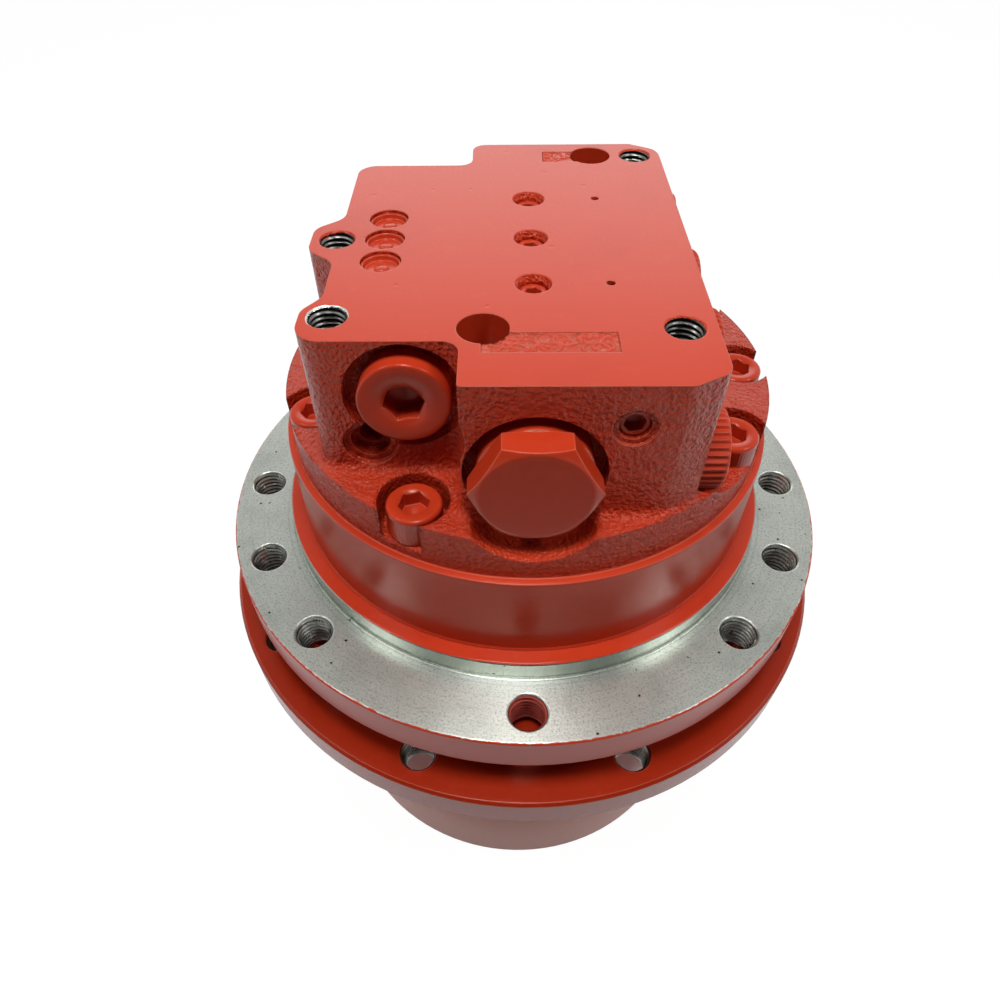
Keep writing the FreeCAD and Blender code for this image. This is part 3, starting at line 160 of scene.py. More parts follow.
class Canvas:
    """A node tree that is being filled, with short calls for the nodes used here."""

    def __init__(self, tree: bpy.types.NodeTree) -> None:
        """Keep the tree to fill."""
        self.tree = tree

    def add(self, kind: str, **settings: object) -> bpy.types.Node:
        """Add a node and set its properties.

        Args:
            kind: Node type without the leading ShaderNode.
            settings: Properties of the node.

        Returns:
            The new node.
        """
        node = self.tree.nodes.new("ShaderNode" + kind)
        for key, value in settings.items():
            setattr(node, key, value)
        return node

    def feed(self, socket: bpy.types.NodeSocket, source: object) -> None:
        """Link a socket to another one, or set its own value.

        Args:
            socket: Input socket.
            source: Output socket, number, colour or vector.
        """
        if source is None:
            return
        if isinstance(source, bpy.types.NodeSocket):
            self.tree.links.new(source, socket)
        elif isinstance(source, (tuple, list)) and len(source) == 3 and socket.type == "RGBA":
            socket.default_value = (*source, 1.0)
        else:
            socket.default_value = source

    def math(self, operation: str, first: object, second: object = None,
             third: object = None) -> bpy.types.NodeSocket:
        """Result of a Math node on one to three values.

        Args:
            operation: Name of the operation.
            first: Socket or number.
            second: Socket or number, where the operation has it.
            third: Socket or number, where the operation has it.

        Returns:
            Output socket of the node.
        """
        node = self.add("Math", operation=operation)
        for socket, source in zip(node.inputs, (first, second, third)):
            self.feed(socket, source)
        return node.outputs[0]

    def mix(self, factor: object, first: object, second: object) -> bpy.types.NodeSocket:
        """Colour between two colours.

        Args:
            factor: Share of the second colour.
            first: Colour or socket.
            second: Colour or socket.

        Returns:
            Output socket of the node.
        """
        node = self.add("Mix", data_type="RGBA")
        self.feed(node.inputs[0], factor)
        self.feed(node.inputs[6], first)
        self.feed(node.inputs[7], second)
        return node.outputs[2]

    def ramp(self, value: object, low: object, high: object, start: object = 0.0,
             end: object = 1.0) -> bpy.types.NodeSocket:
        """Smooth step of a value from start to end between low and high.

        Args:
            value: Socket to map.
            low: Value that gives the start.
            high: Value that gives the end, below low for a falling step.
            start: Result at low.
            end: Result at high.

        Returns:
            Output socket of the node.
        """
        node = self.add("MapRange", interpolation_type="SMOOTHSTEP")
        for socket, source in zip(node.inputs[:5], (value, low, high, start, end)):
            self.feed(socket, source)
        return node.outputs[0]

    def noise(self, vector: object, scale: object, detail: float = 3.0,
              roughness: float = 0.5) -> bpy.types.NodeSocket:
        """Value of a noise texture.

        Args:
            vector: Coordinates.
            scale: Grains per metre.
            detail: Number of finer layers.
            roughness: Strength of the finer layers.

        Returns:
            Output socket of the node.
        """
        node = self.add("TexNoise")
        self.feed(node.inputs["Vector"], vector)
        self.feed(node.inputs["Scale"], scale)
        self.feed(node.inputs["Detail"], detail)
        self.feed(node.inputs["Roughness"], roughness)
        return node.outputs[0]

    def cells(self, vector: object, scale: object) -> bpy.types.Node:
        """Voronoi texture node.

        Args:
            vector: Coordinates.
            scale: Cells per metre.

        Returns:
            The node, for its distance and its colour.
        """
        node = self.add("TexVoronoi", feature="F1")
        self.feed(node.inputs["Vector"], vector)
        self.feed(node.inputs["Scale"], scale)
        return node

    def split(self, vector: object) -> list[bpy.types.NodeSocket]:
        """The three parts of a vector.

        Args:
            vector: Socket of the vector.

        Returns:
            Sockets of x, y and z.
        """
        node = self.add("SeparateXYZ")
        self.feed(node.inputs[0], vector)
        return list(node.outputs)

    def away(self, x: object, y: object) -> bpy.types.NodeSocket:
        """Length of a flat offset: the square root of x squared plus y squared."""
        return self.math("SQRT", self.math("ADD", self.math("MULTIPLY", x, x),
                                           self.math("MULTIPLY", y, y)))

    def place(self) -> bpy.types.NodeSocket:
        """Object coordinates."""
        return self.add("TexCoord").outputs["Object"]

    def group(self, effect: "Effect", **inputs: object) -> bpy.types.Node:
        """Place one of the shared effects and feed its inputs.

        Args:
            effect: Effect to place.
            inputs: What feeds each input, by its name in small letters.

        Returns:
            The group node.
        """
        node = self.add("Group")
        node.node_tree = effect.tree
        for name, source in inputs.items():
            self.feed(node.inputs[name.replace("_", " ").title()], source)
        return node

    def bump(self, height: object, depth: float, normal: object = None,
             strength: object = 1.0) -> bpy.types.NodeSocket:
        """Normal of a surface that a height from 0 to 1 moves by a depth in metres.

        Args:
            height: Height from 0 to 1.
            depth: Depth in metres.
            normal: Normal to start from, or None for the surface's own.
            strength: Share of the bump, 0 to 1.

        Returns:
            Output socket of the node.
        """
        node = self.add("Bump")
        node.inputs["Distance"].default_value = depth
        self.feed(node.inputs["Strength"], strength)
        self.feed(node.inputs["Height"], height)
        self.feed(node.inputs["Normal"], normal)
        return node.outputs[0]


class Effect:
    """A shader node group with named inputs and outputs, built once."""

    def __init__(self, name: str, inputs: dict[str, str], outputs: dict[str, str]) -> None:
        """Make the group's tree and its sockets.

        Args:
            name: Name of the group.
            inputs: Socket name to kind: Float, Vector or Color.
            outputs: The same for what comes out.
        """
        self.tree = bpy.data.node_groups.new(name, "ShaderNodeTree")
        for direction, sockets in (("INPUT", inputs), ("OUTPUT", outputs)):
            for socket, kind in sockets.items():
                self.tree.interface.new_socket(
                    name=socket, in_out=direction, socket_type="NodeSocket" + kind)
        self.source = self.tree.nodes.new("NodeGroupInput")
        self.sink = self.tree.nodes.new("NodeGroupOutput")
        self.canvas = Canvas(self.tree)

    def get(self, name: str) -> bpy.types.NodeSocket:
        """What comes in under a name."""
        return self.source.outputs[name]

    def put(self, name: str, socket: bpy.types.NodeSocket) -> None:
        """Send a result out under a name."""
        self.tree.links.new(socket, self.sink.inputs[name])


def cast_skin_effect() -> Effect:
    """Sand-cast skin under paint: grains, slower swells and a few pits.

    Returns:
        Group with Vector and Grain (size of a grain in metres) in, Height out.
    """
    effect = Effect("cast_skin", {"Vector": "Vector", "Grain": "Float"}, {"Height": "Float"})
    c = effect.canvas
    scale = c.math("DIVIDE", 1.0, effect.get("Grain"))
    grains = c.noise(effect.get("Vector"), scale, 2.0, 0.45)
    swell = c.noise(effect.get("Vector"), c.math("MULTIPLY", scale, 0.24), 2.0)
    pits = c.cells(effect.get("Vector"), c.math("MULTIPLY", scale, 0.45)).outputs["Distance"]
    height = c.math("ADD", c.math("MULTIPLY", grains, 0.9), c.math("MULTIPLY", swell, 0.6))
    effect.put("Height", c.math("ADD", height, c.ramp(pits, 0.05, 0.22, -0.12, 0.0)))
    return effect


def tone_effect() -> Effect:
    """Slow drift of a colour between three tones.

    Returns:
        Group with Vector, Size in metres, Base, Dark and Pale in, Color out.
    """
    effect = Effect("tone", {"Vector": "Vector", "Size": "Float", "Base": "Color",
                             "Dark": "Color", "Pale": "Color"}, {"Color": "Color"})
    c = effect.canvas
    scale = c.math("DIVIDE", 1.0, effect.get("Size"))
    slow = c.noise(effect.get("Vector"), scale, 4.0, 0.55)
    quick = c.noise(effect.get("Vector"), c.math("MULTIPLY", scale, 9.0), 3.0, 0.6)
    dark = c.ramp(slow, 0.55, 0.30, 0.0, 0.5)
    pale = c.ramp(quick, 0.55, 0.80, 0.0, 0.25)
    colour = c.mix(dark, effect.get("Base"), effect.get("Dark"))
    effect.put("Color", c.mix(pale, colour, effect.get("Pale")))
    return effect


def lathe_effect() -> Effect:
    """Turning marks: a height that changes with the radius, and one with the height.

    Returns:
        Group with Vector and Pitch in metres in, Rings and Bands out.
    """
    effect = Effect("lathe_marks", {"Vector": "Vector", "Pitch": "Float"},
                    {"Rings": "Float", "Bands": "Float"})
    c = effect.canvas
    x, y, z = c.split(effect.get("Vector"))
    scale = c.math("DIVIDE", 1.0, effect.get("Pitch"))
    for name, value in (("Rings", c.away(x, y)), ("Bands", z)):
        node = c.add("TexNoise", noise_dimensions="1D")
        c.feed(node.inputs["W"], value)
        c.feed(node.inputs["Scale"], scale)
        c.feed(node.inputs["Detail"], 4.0)
        effect.put(name, node.outputs[0])
    return effect


def speck_effect() -> Effect:
    """Scattered small specks, each in its own cell.

    Returns:
        Group with Vector, Size in metres and Share (0 to 1) in, Mask out.
    """
    effect = Effect("specks", {"Vector": "Vector", "Size": "Float", "Share": "Float"},
                    {"Mask": "Float"})
    c = effect.canvas
    warp = c.add("VectorMath", operation="ADD")
    c.feed(warp.inputs[0], effect.get("Vector"))
    stir = c.add("TexNoise")
    c.feed(stir.inputs["Vector"], effect.get("Vector"))
    c.feed(stir.inputs["Scale"], 900.0)
    spread = c.add("VectorMath", operation="SCALE")
    c.feed(spread.inputs[0], stir.outputs["Color"])
    spread.inputs["Scale"].default_value = 0.6 * MM
    c.feed(warp.inputs[1], spread.outputs[0])
    cells = c.cells(warp.outputs[0], c.math("DIVIDE", 1.0, effect.get("Size")))
    spot = c.ramp(cells.outputs["Distance"], 0.17, 0.09)
    pick = c.add("SeparateColor")
    c.feed(pick.inputs[0], cells.outputs["Color"])
    chosen = c.math("LESS_THAN", pick.outputs[0], effect.get("Share"))
    effect.put("Mask", c.math("MULTIPLY", spot, chosen))
    return effect


def band_effect() -> Effect:
    """Masks of a stretch of height and of a ring of radius.

    Returns:
        Group with Vector, Low, High, Inner, Outer and Soft in metres in, Height, Ring and
        Radius out.
    """
    effect = Effect("bands", {"Vector": "Vector", "Low": "Float", "High": "Float",
                              "Inner": "Float", "Outer": "Float", "Soft": "Float"},
                    {"Height": "Float", "Ring": "Float", "Radius": "Float"})
    c = effect.canvas
    x, y, z = c.split(effect.get("Vector"))
    flat = c.away(x, y)
    for name, value, low, high in (("Height", z, "Low", "High"),
                                   ("Ring", flat, "Inner", "Outer")):
        start, end = effect.get(low), effect.get(high)
        rise = c.ramp(value, start, c.math("ADD", start, effect.get("Soft")))
        fall = c.ramp(value, end, c.math("SUBTRACT", end, effect.get("Soft")))
        effect.put(name, c.math("MULTIPLY", rise, fall))
    effect.put("Radius", flat)
    return effect


def edge_effect() -> Effect:
    """Rounded normal at sharp edges and a mask of those edges.

    Returns:
        Group with Reach in metres in, Normal and Edge out.
    """
    effect = Effect("edges", {"Reach": "Float"}, {"Normal": "Vector", "Edge": "Float"})
    c = effect.canvas
    round_off = c.add("Bevel", samples=6)
    c.feed(round_off.inputs["Radius"], effect.get("Reach"))
    dot = c.add("VectorMath", operation="DOT_PRODUCT")
    c.feed(dot.inputs[0], round_off.outputs[0])
    c.feed(dot.inputs[1], c.add("NewGeometry").outputs["Normal"])
    effect.put("Normal", round_off.outputs[0])
    effect.put("Edge", c.ramp(dot.outputs["Value"], 0.995, 0.85))
    return effect


class Effects:
    """The shared effects, each built once."""

    def __init__(self) -> None:
        """Build every group."""
        self.cast_skin = cast_skin_effect()
        self.tone = tone_effect()
        self.lathe = lathe_effect()
        self.specks = speck_effect()
        self.bands = band_effect()
        self.edges = edge_effect()


EFFECTS = Effects()


def new_material(name: str) -> tuple[bpy.types.Material, Canvas, bpy.types.Node]:
    """Empty node material with a Principled shader.

    Args:
        name: Name of the material.

    Returns:
        The material, a canvas on its tree and its shader node.
    """
    material = bpy.data.materials.new(name)
    material.use_nodes = True
    canvas = Canvas(material.node_tree)
    shader = next(n for n in material.node_tree.nodes if n.type == "BSDF_PRINCIPLED")
    return material, canvas, shader


@dataclass(frozen=True)
class Paint:
    """Red-oxide gloss paint over cast or machined iron."""

    base: Colour = (0.530, 0.040, 0.012)
    dark: Colour = (0.430, 0.026, 0.007)
    pale: Colour = (0.610, 0.070, 0.030)
    # Pale colour painted along sharp edges: a painted highlight.
    edge: Colour = (0.760, 0.240, 0.160)
    sheen: Colour = (1.000, 0.760, 0.680)
    # Pale colour of the drum's lower part: a painted reflection.
    painted_reflection: Colour = (0.720, 0.290, 0.210)
    gloss: float = 0.21
    index: float = 1.40
    grain: float = 1.15 * MM
    depth: float = 1.40 * MM
    edge_reach: float = 0.6 * MM
    edge_highlight_share: float = 0.55

    def colour(self, c: Canvas, place: bpy.types.NodeSocket, size: float) -> bpy.types.NodeSocket:
        """Drifting paint colour.

        Args:
            c: Canvas of the material.
            place: Object coordinates.
            size: Size of the drift in metres.

        Returns:
            Colour socket.
        """
        return c.group(EFFECTS.tone, vector=place, size=size, base=self.base, dark=self.dark,
                       pale=self.pale).outputs[0]

    def plain(self, name: str, roughness: Optional[float] = None, turned: float = 0.0,
              reflection_below: float = 0.0) -> bpy.types.Material:
        """Paint on a smooth machined piece such as a plug, a screw or the hub.

        Args:
            name: Name of the material.
            roughness: Roughness of the paint, or None for the paint's own.
            turned: Depth of turning marks about Z in metres.
            reflection_below: Height in metres under which the paint is dull and painted pale as a
                painted reflection, or 0.

        Returns:
            The material.
        """
        material, c, shader = new_material(name)
        place = c.place()
        edges = c.group(EFFECTS.edges, reach=self.edge_reach)
        peel = c.noise(place, 600.0, 1.0)
        colour = self.colour(c, place, 0.060)
        # Painted highlight: the pale edge colour is mixed in along sharp edges.
        colour = c.mix(c.math("MULTIPLY", edges.outputs["Edge"], self.edge_highlight_share), colour,
                       self.edge)
        own = self.gloss if roughness is None else roughness
        dullness = c.ramp(peel, 0.3, 0.7, own - 0.02, own + 0.03)
        # Painted reflection: below the given height the paint is mixed towards the pale colour.
        if reflection_below:
            reflection_mask = c.ramp(c.split(place)[2], reflection_below, reflection_below - 0.8 * MM)
            colour = c.mix(c.math("MULTIPLY", reflection_mask, 0.75), colour, self.painted_reflection)
            dullness = c.math("ADD", dullness, c.math("MULTIPLY", reflection_mask, 0.15))
        c.feed(shader.inputs["Base Color"], colour)
        c.feed(shader.inputs["Roughness"], dullness)
        normal = c.bump(peel, 0.012 * MM, edges.outputs["Normal"])
        if turned:
            lathe = c.group(EFFECTS.lathe, vector=place, pitch=2.5 * MM)
            marks = c.math("ADD", lathe.outputs["Rings"], lathe.outputs["Bands"])
            normal = c.bump(marks, turned, normal)
        c.feed(shader.inputs["Normal"], normal)
        shader.inputs["IOR"].default_value = self.index
        shader.inputs["Specular Tint"].default_value = (*self.sheen, 1.0)
        return material


@dataclass(frozen=True)
class BareIron:
    """Turned and ground iron with fine black pores."""

    colour: Colour = (0.64, 0.67, 0.61)
    shade: Colour = (0.31, 0.34, 0.30)
    speck: Colour = (0.03, 0.03, 0.025)
    roughness: float = 0.33


@dataclass(frozen=True)
class BlockPaint:
    """Valve block: cast skin on walls and foot, satin machined top, glossy turned skirt."""

    paint: Paint
    iron: BareIron
    wall_edge: float = 0.5 * MM
    foot_edge: float = 1.8 * MM
    cast_roughness: float = 0.19
    skirt_roughness: float = 0.28
    top_roughness: tuple[float, float] = (0.30, 0.38)
    drift: float = 45.0 * MM
    lathe_pitch: float = 1.6 * MM
    dent_cell: float = 6.0 * MM
    dent_share: float = 0.10
    worn_tap: str = "top_tap_front_left"
    worn_radius: float = 5.8 * MM
    worn_depth: float = 2.0 * MM

    def cast_walls(self, c: Canvas, x: bpy.types.NodeSocket, y: bpy.types.NodeSocket,
                   machined: bpy.types.NodeSocket) -> bpy.types.NodeSocket:
        """Mask of the rough walls: all but what is machined or drilled.

        Args:
            c: Canvas of the material.
            x: X of the object coordinates.
            y: Y of the object coordinates.
            machined: Mask of the machined top and skirt.

        Returns:
            Value socket.
        """
        cast = c.math("SUBTRACT", 1.0, machined)
        for hole in (FRONT_DRAIN, REAR_DRAIN):
            reach = c.away(c.math("SUBTRACT", x, hole.x * MM),
                           c.math("SUBTRACT", y, hole.y * MM))
            outside = c.ramp(reach, (hole.radius + 0.1) * MM, (hole.radius + 0.3) * MM)
            cast = c.math("MULTIPLY", cast, outside)
        return cast

    def worn_mouth(self, c: Canvas, place: bpy.types.NodeSocket) -> bpy.types.NodeSocket:
        """Mask of the bare metal round the mouth of one tapped hole.

        Args:
            c: Canvas of the material.
            place: Object coordinates.

        Returns:
            Value socket.
        """
        x, y, z = c.split(place)
        hole = mount(self.worn_tap)["pos_m"]
        reach = c.away(c.math("SUBTRACT", x, hole[0]), c.math("SUBTRACT", y, hole[1]))
        ragged = c.math("MULTIPLY", c.noise(place, 500.0, 3.0), 0.9 * MM)
        near = c.ramp(c.math("ADD", reach, ragged), self.worn_radius + 0.2 * MM,
                      self.worn_radius)
        deepest = LEVELS.block_top - self.worn_depth
        return c.math("MULTIPLY", near, c.ramp(z, deepest - 1.0 * MM, deepest))

    def material(self) -> bpy.types.Material:
        """Make the material of the whole block.

        Returns:
            The material.
        """
        material, c, shader = new_material("block_paint")
        place = c.place()
        x, y, z = c.split(place)
        top = c.ramp(z, LEVELS.block_top - 0.35 * MM, LEVELS.block_top - 0.25 * MM)
        skirt = c.ramp(z, LEVELS.ledge + 0.4 * MM, LEVELS.ledge + 0.1 * MM)
        cast = self.cast_walls(c, x, y, c.math("MAXIMUM", top, skirt))
        foot = c.math("MULTIPLY", cast,
                      c.ramp(z, LEVELS.shelf + 3.0 * MM, LEVELS.shelf + 1.0 * MM))
        edges = c.group(EFFECTS.edges,
                        reach=c.ramp(foot, 0.0, 1.0, self.wall_edge, self.foot_edge))
        skin = c.group(EFFECTS.cast_skin, vector=place, grain=self.paint.grain).outputs[0]
        lathe = c.group(EFFECTS.lathe, vector=place, pitch=self.lathe_pitch)
        dents = c.group(EFFECTS.specks, vector=place, size=self.dent_cell,
                        share=self.dent_share).outputs[0]
        fine = c.noise(place, 1100.0, 3.0)
        colour = self.paint.colour(c, place, self.drift)
        # Painted shade: the cast skin's low spots are darkened towards the dark paint.
        hollow_shade = c.math("MULTIPLY", c.ramp(skin, 0.78, 0.55), cast)
        colour = c.mix(c.math("MULTIPLY", hollow_shade, 0.45), colour, self.paint.dark)
        # Painted highlight: pale edge colour along the sharp edges above the foot.
        painted_edge_highlight = c.math("MULTIPLY", edges.outputs["Edge"], c.math("SUBTRACT", 1.0, foot))
        colour = c.mix(c.math("MULTIPLY", painted_edge_highlight, self.paint.edge_highlight_share), colour,
                       self.paint.edge)
        bare = self.worn_mouth(c, place)
        satin = c.ramp(fine, 0.3, 0.7, *self.top_roughness)
        roughness = c.math("ADD", c.math("MULTIPLY", top, satin),
                           c.math("MULTIPLY", skirt, self.skirt_roughness))
        roughness = c.math("MAXIMUM", roughness, self.cast_roughness)
        normal = c.bump(skin, self.paint.depth, edges.outputs["Normal"], cast)
        normal = c.bump(lathe.outputs["Bands"], 0.03 * MM, normal, skirt)
        normal = c.bump(c.math("SUBTRACT", c.math("MULTIPLY", fine, 0.2), dents), 0.06 * MM,
                        normal, top)
        c.feed(shader.inputs["Base Color"], c.mix(bare, colour, self.iron.colour))
        c.feed(shader.inputs["Metallic"], bare)
        c.feed(shader.inputs["Roughness"], roughness)
        c.feed(shader.inputs["Normal"], normal)
        shader.inputs["IOR"].default_value = self.paint.index
        shader.inputs["Specular Tint"].default_value = (*self.paint.sheen, 1.0)
        return material


@dataclass(frozen=True)
class BodyFinish:
    """Motor body: bare flange face and pilot, paint elsewhere, chipped at the rim."""

    paint: Paint
    iron: BareIron
    drift: float = 40.0 * MM
    chips: float = 1.5 * MM
    lathe_pitch: float = 0.9 * MM
    pore_cell: float = 3.4 * MM
    pore_share: float = 0.14
    # Share of painted shade on the pilot wall.
    wall_shade: float = 0.7
    wall_gloss: float = 0.16
    stretch: float = 0.7
    stretch_turn: float = 0.25

    def bare_part(self, c: Canvas, place: bpy.types.NodeSocket) -> bpy.types.NodeSocket:
        """Mask of the bare flange face and pilot, with a ragged border at the rim.

        Args:
            c: Canvas of the material.
            place: Object coordinates.

        Returns:
            Value socket.
        """
        band = c.group(EFFECTS.bands, vector=place, low=LEVELS.frame_face - 0.75 * MM,
                       high=LEVELS.joint_face - 0.25 * MM,
                       inner=LEVELS.pilot_radius - 0.4 * MM,
                       outer=LEVELS.frame_radius + 1.0 * MM, soft=0.1 * MM)
        ragged = c.noise(place, 420.0, 4.0, 0.65)
        rim = c.math("ADD", band.outputs["Radius"],
                     c.math("MULTIPLY", c.math("SUBTRACT", ragged, 0.5), self.chips))
        whole = c.ramp(rim, LEVELS.frame_radius - 0.3 * MM, LEVELS.frame_radius - 0.7 * MM)
        inside = c.math("MULTIPLY", band.outputs["Height"], band.outputs["Ring"])
        return c.math("MULTIPLY", inside, whole)

    def material(self) -> bpy.types.Material:
        """Make the material of the whole body.

        Returns:
            The material.
        """
        material, c, shader = new_material("body_finish")
        iron = self.iron
        place = c.place()
        edges = c.group(EFFECTS.edges, reach=self.paint.edge_reach)
        bare = self.bare_part(c, place)
        rings = c.group(EFFECTS.lathe, vector=place, pitch=self.lathe_pitch).outputs["Rings"]
        pores = c.group(EFFECTS.specks, vector=place, size=self.pore_cell,
                        share=self.pore_share).outputs[0]
        stains = c.ramp(c.noise(place, 45.0, 5.0, 0.65), 0.40, 0.80, 0.0, 0.5)
        sand = c.noise(place, 1500.0, 3.0, 0.6)
        wall = c.ramp(c.split(place)[2], LEVELS.frame_face + 0.2 * MM,
                      LEVELS.frame_face + 0.8 * MM)
        metal = c.mix(stains, iron.colour, iron.shade)
        metal = c.mix(c.ramp(sand, 0.50, 0.66, 0.0, 0.7), metal, iron.shade)
        metal = c.mix(c.ramp(rings, 0.50, 0.75, 0.0, 0.3), metal, iron.shade)
        # Painted shade: the pilot wall is darkened towards the shade colour.
        metal = c.mix(c.math("MULTIPLY", wall, self.wall_shade), metal, iron.shade)
        metal = c.mix(pores, metal, iron.speck)
        coat = self.paint.colour(c, place, self.drift)
        worked = c.math("SUBTRACT", iron.roughness, c.math("MULTIPLY", wall, self.wall_gloss))
        normal = c.bump(c.math("MULTIPLY", sand, bare), 0.05 * MM, edges.outputs["Normal"])
        round_z = c.add("Tangent", direction_type="RADIAL", axis="Z").outputs[0]
        c.feed(shader.inputs["Base Color"], c.mix(bare, coat, metal))
        c.feed(shader.inputs["Metallic"], c.math("MULTIPLY", bare, 0.95))
        c.feed(shader.inputs["Roughness"], c.ramp(bare, 0.0, 1.0, self.paint.gloss, worked))
        c.feed(shader.inputs["Normal"], c.bump(rings, 0.02 * MM, normal))
        c.feed(shader.inputs["Tangent"], round_z)
        shader.inputs["Anisotropic"].default_value = self.stretch
        shader.inputs["Anisotropic Rotation"].default_value = self.stretch_turn
        shader.inputs["IOR"].default_value = self.paint.index
        return material


@dataclass(frozen=True)
class CutThread:
    """Bare steel of a cut thread with a painted highlight on flanks that face up, painted shade
    on the others, and stray paint on a share of it.
    """

    paint: Paint
    share: float
    front_share: float = 0.0
    front_y: float = -88.0 * MM
    lit_flank: Colour = (0.70, 0.70, 0.658)
    shaded_flank: Colour = (0.03, 0.03, 0.026)
    smut: Colour = (0.10, 0.10, 0.09)
    roughness: tuple[float, float] = (0.26, 0.42)

    def material(self, name: str) -> bpy.types.Material:
        """Make the material: flanks that face up are painted bright and the others painted dark,
        as painted highlight and painted shade.

        Args:
            name: Name of the material.

        Returns:
            The material.
        """
        material, c, shader = new_material(name)
        place = c.place()
        grains = c.noise(place, 500.0, 4.0, 0.6)
        slope = c.split(c.add("NewGeometry").outputs["Normal"])[2]
        # Painted highlight and painted shade: up-facing flanks get the bright colour, the others
        # the dark one.
        metal = c.mix(c.ramp(slope, 0.58, 0.12), self.lit_flank, self.shaded_flank)
        metal = c.mix(c.ramp(grains, 0.50, 0.80, 0.0, 0.5), metal, self.smut)
        patches = c.ramp(c.noise(place, 260.0, 3.0), 0.62, 0.68)
        front = c.ramp(c.split(place)[1], self.front_y, self.front_y - 3.0 * MM)
        painted = c.math("MAXIMUM", c.math("MULTIPLY", patches, self.share),
                         c.math("MULTIPLY", front, self.front_share))
        c.feed(shader.inputs["Base Color"], c.mix(painted, metal, self.paint.dark))
        c.feed(shader.inputs["Metallic"], c.math("SUBTRACT", 1.0, painted))
        c.feed(shader.inputs["Roughness"], c.ramp(grains, 0.3, 0.7, *self.roughness))
        c.feed(shader.inputs["Normal"], c.bump(grains, 0.02 * MM))
        return material


@dataclass(frozen=True)
class BareMetal:
    """Bare steel or brass with a fine uneven grain."""

    tint: Colour
    roughness: float
    grain: float = 500.0

    def material(self, name: str) -> bpy.types.Material:
        """Make the material.

        Args:
            name: Name of the material.

        Returns:
            The material.
        """
        material, c, shader = new_material(name)
        grains = c.noise(c.place(), self.grain, 4.0, 0.6)
        darker = tuple(0.7 * v for v in self.tint)
        dullness = c.ramp(grains, 0.3, 0.7, self.roughness - 0.06, self.roughness + 0.1)
        c.feed(shader.inputs["Base Color"], c.mix(c.ramp(grains, 0.35, 0.75), self.tint, darker))
        c.feed(shader.inputs["Roughness"], dullness)
        c.feed(shader.inputs["Normal"], c.bump(grains, 0.01 * MM))
        shader.inputs["Metallic"].default_value = 1.0
        return material


@dataclass(frozen=True)
class SealRubber:
    """Black seal rubber with a faint bloom."""

    black: Colour = (0.012, 0.012, 0.012)
    bloom: Colour = (0.03, 0.03, 0.03)
    roughness: tuple[float, float] = (0.50, 0.65)

    def material(self) -> bpy.types.Material:
        """Make the material.

        Returns:
            The material.
        """
        material, c, shader = new_material("seal_rubber")
        patches = c.noise(c.place(), 200.0, 4.0, 0.6)
        c.feed(shader.inputs["Base Color"], c.mix(patches, self.black, self.bloom))
        c.feed(shader.inputs["Roughness"], c.ramp(patches, 0.3, 0.7, *self.roughness))
        return material


def new_mesh(name: str, points: np.ndarray, faces: Sequence[Sequence[int]]) -> bpy.types.Object:
    """Mesh object from an array of points and a list of faces.

    Args:
        name: Name of the object.
        points: Array of places, one row each.
        faces: Corner numbers of each face.

    Returns:
        The linked object, at the origin.
    """
    mesh = bpy.data.meshes.new(name)
    mesh.from_pydata(points.tolist(), [], faces)
    mesh.update()
    made = bpy.data.objects.new(name, mesh)
    bpy.context.scene.collection.objects.link(made)
    return made


def grid_faces(rows: int, columns: int, first: int = 0, closed: bool = True) -> np.ndarray:
    """Faces of a grid of points.

    Face (i, j) joins points (i, j), (i, j + 1), (i + 1, j + 1) and (i + 1, j), with j + 1 taken
    modulo the number of columns where the grid closes round.

    Args:
        rows: Number of rows of points.
        columns: Points in each row.
        first: Number of the first point.
        closed: Whether the last column is joined to the first one.

    Returns:
        Array of faces, four corners each.
    """
    last = columns if closed else columns - 1
    i, j = np.meshgrid(np.arange(rows - 1), np.arange(last), indexing="ij")
    after = (j + 1) % columns
    corners = (i * columns + j, i * columns + after, (i + 1) * columns + after,
               (i + 1) * columns + j)
    return np.stack(corners, axis=-1).reshape(-1, 4) + first


def smooth(piece: bpy.types.Object, angle: float = 32.0) -> bpy.types.Object:
    """Shade a piece smooth except over edges sharper than an angle in degrees.

    Args:
        piece: Object to shade.
        angle: Angle in degrees.

    Returns:
        The same object.
    """
    piece.data.polygons.foreach_set("use_smooth", [True] * len(piece.data.polygons))
    piece.data.set_sharp_from_angle(angle=math.radians(angle))
    return piece


def clad(piece: bpy.types.Object, material: bpy.types.Material) -> bpy.types.Object:
    """Give a piece one material.

    Args:
        piece: Object to dress.
        material: Its finish.

    Returns:
        The same object.
    """
    piece.data.materials.clear()
    piece.data.materials.append(material)
    return piece


def node_arrays(node: str) -> tuple[np.ndarray, np.ndarray]:
    """Points and triangles of a node's mesh, with its doubled points made one.

    Points that agree when rounded to a micrometre are one point, and a triangle that loses a
    corner by it is left out.

    Args:
        node: Name of the node.

    Returns:
        Array of points in metres and array of triangles.
    """
    mesh = frame["nodes"][node].data
    points = np.empty(len(mesh.vertices) * 3, dtype=np.float32)
    mesh.vertices.foreach_get("co", points)
    corners = np.empty(len(mesh.loops), dtype=np.int32)
    mesh.loops.foreach_get("vertex_index", corners)
    keys = np.round(points.reshape(-1, 3).astype(np.float64) / 1e-6).astype(np.int64)
    places, index = np.unique(keys, axis=0, return_inverse=True)
    faces = index.reshape(-1)[corners].reshape(-1, 3)
    whole = (faces != np.roll(faces, 1, axis=1)).all(axis=1)
    return places * 1e-6, faces[whole]


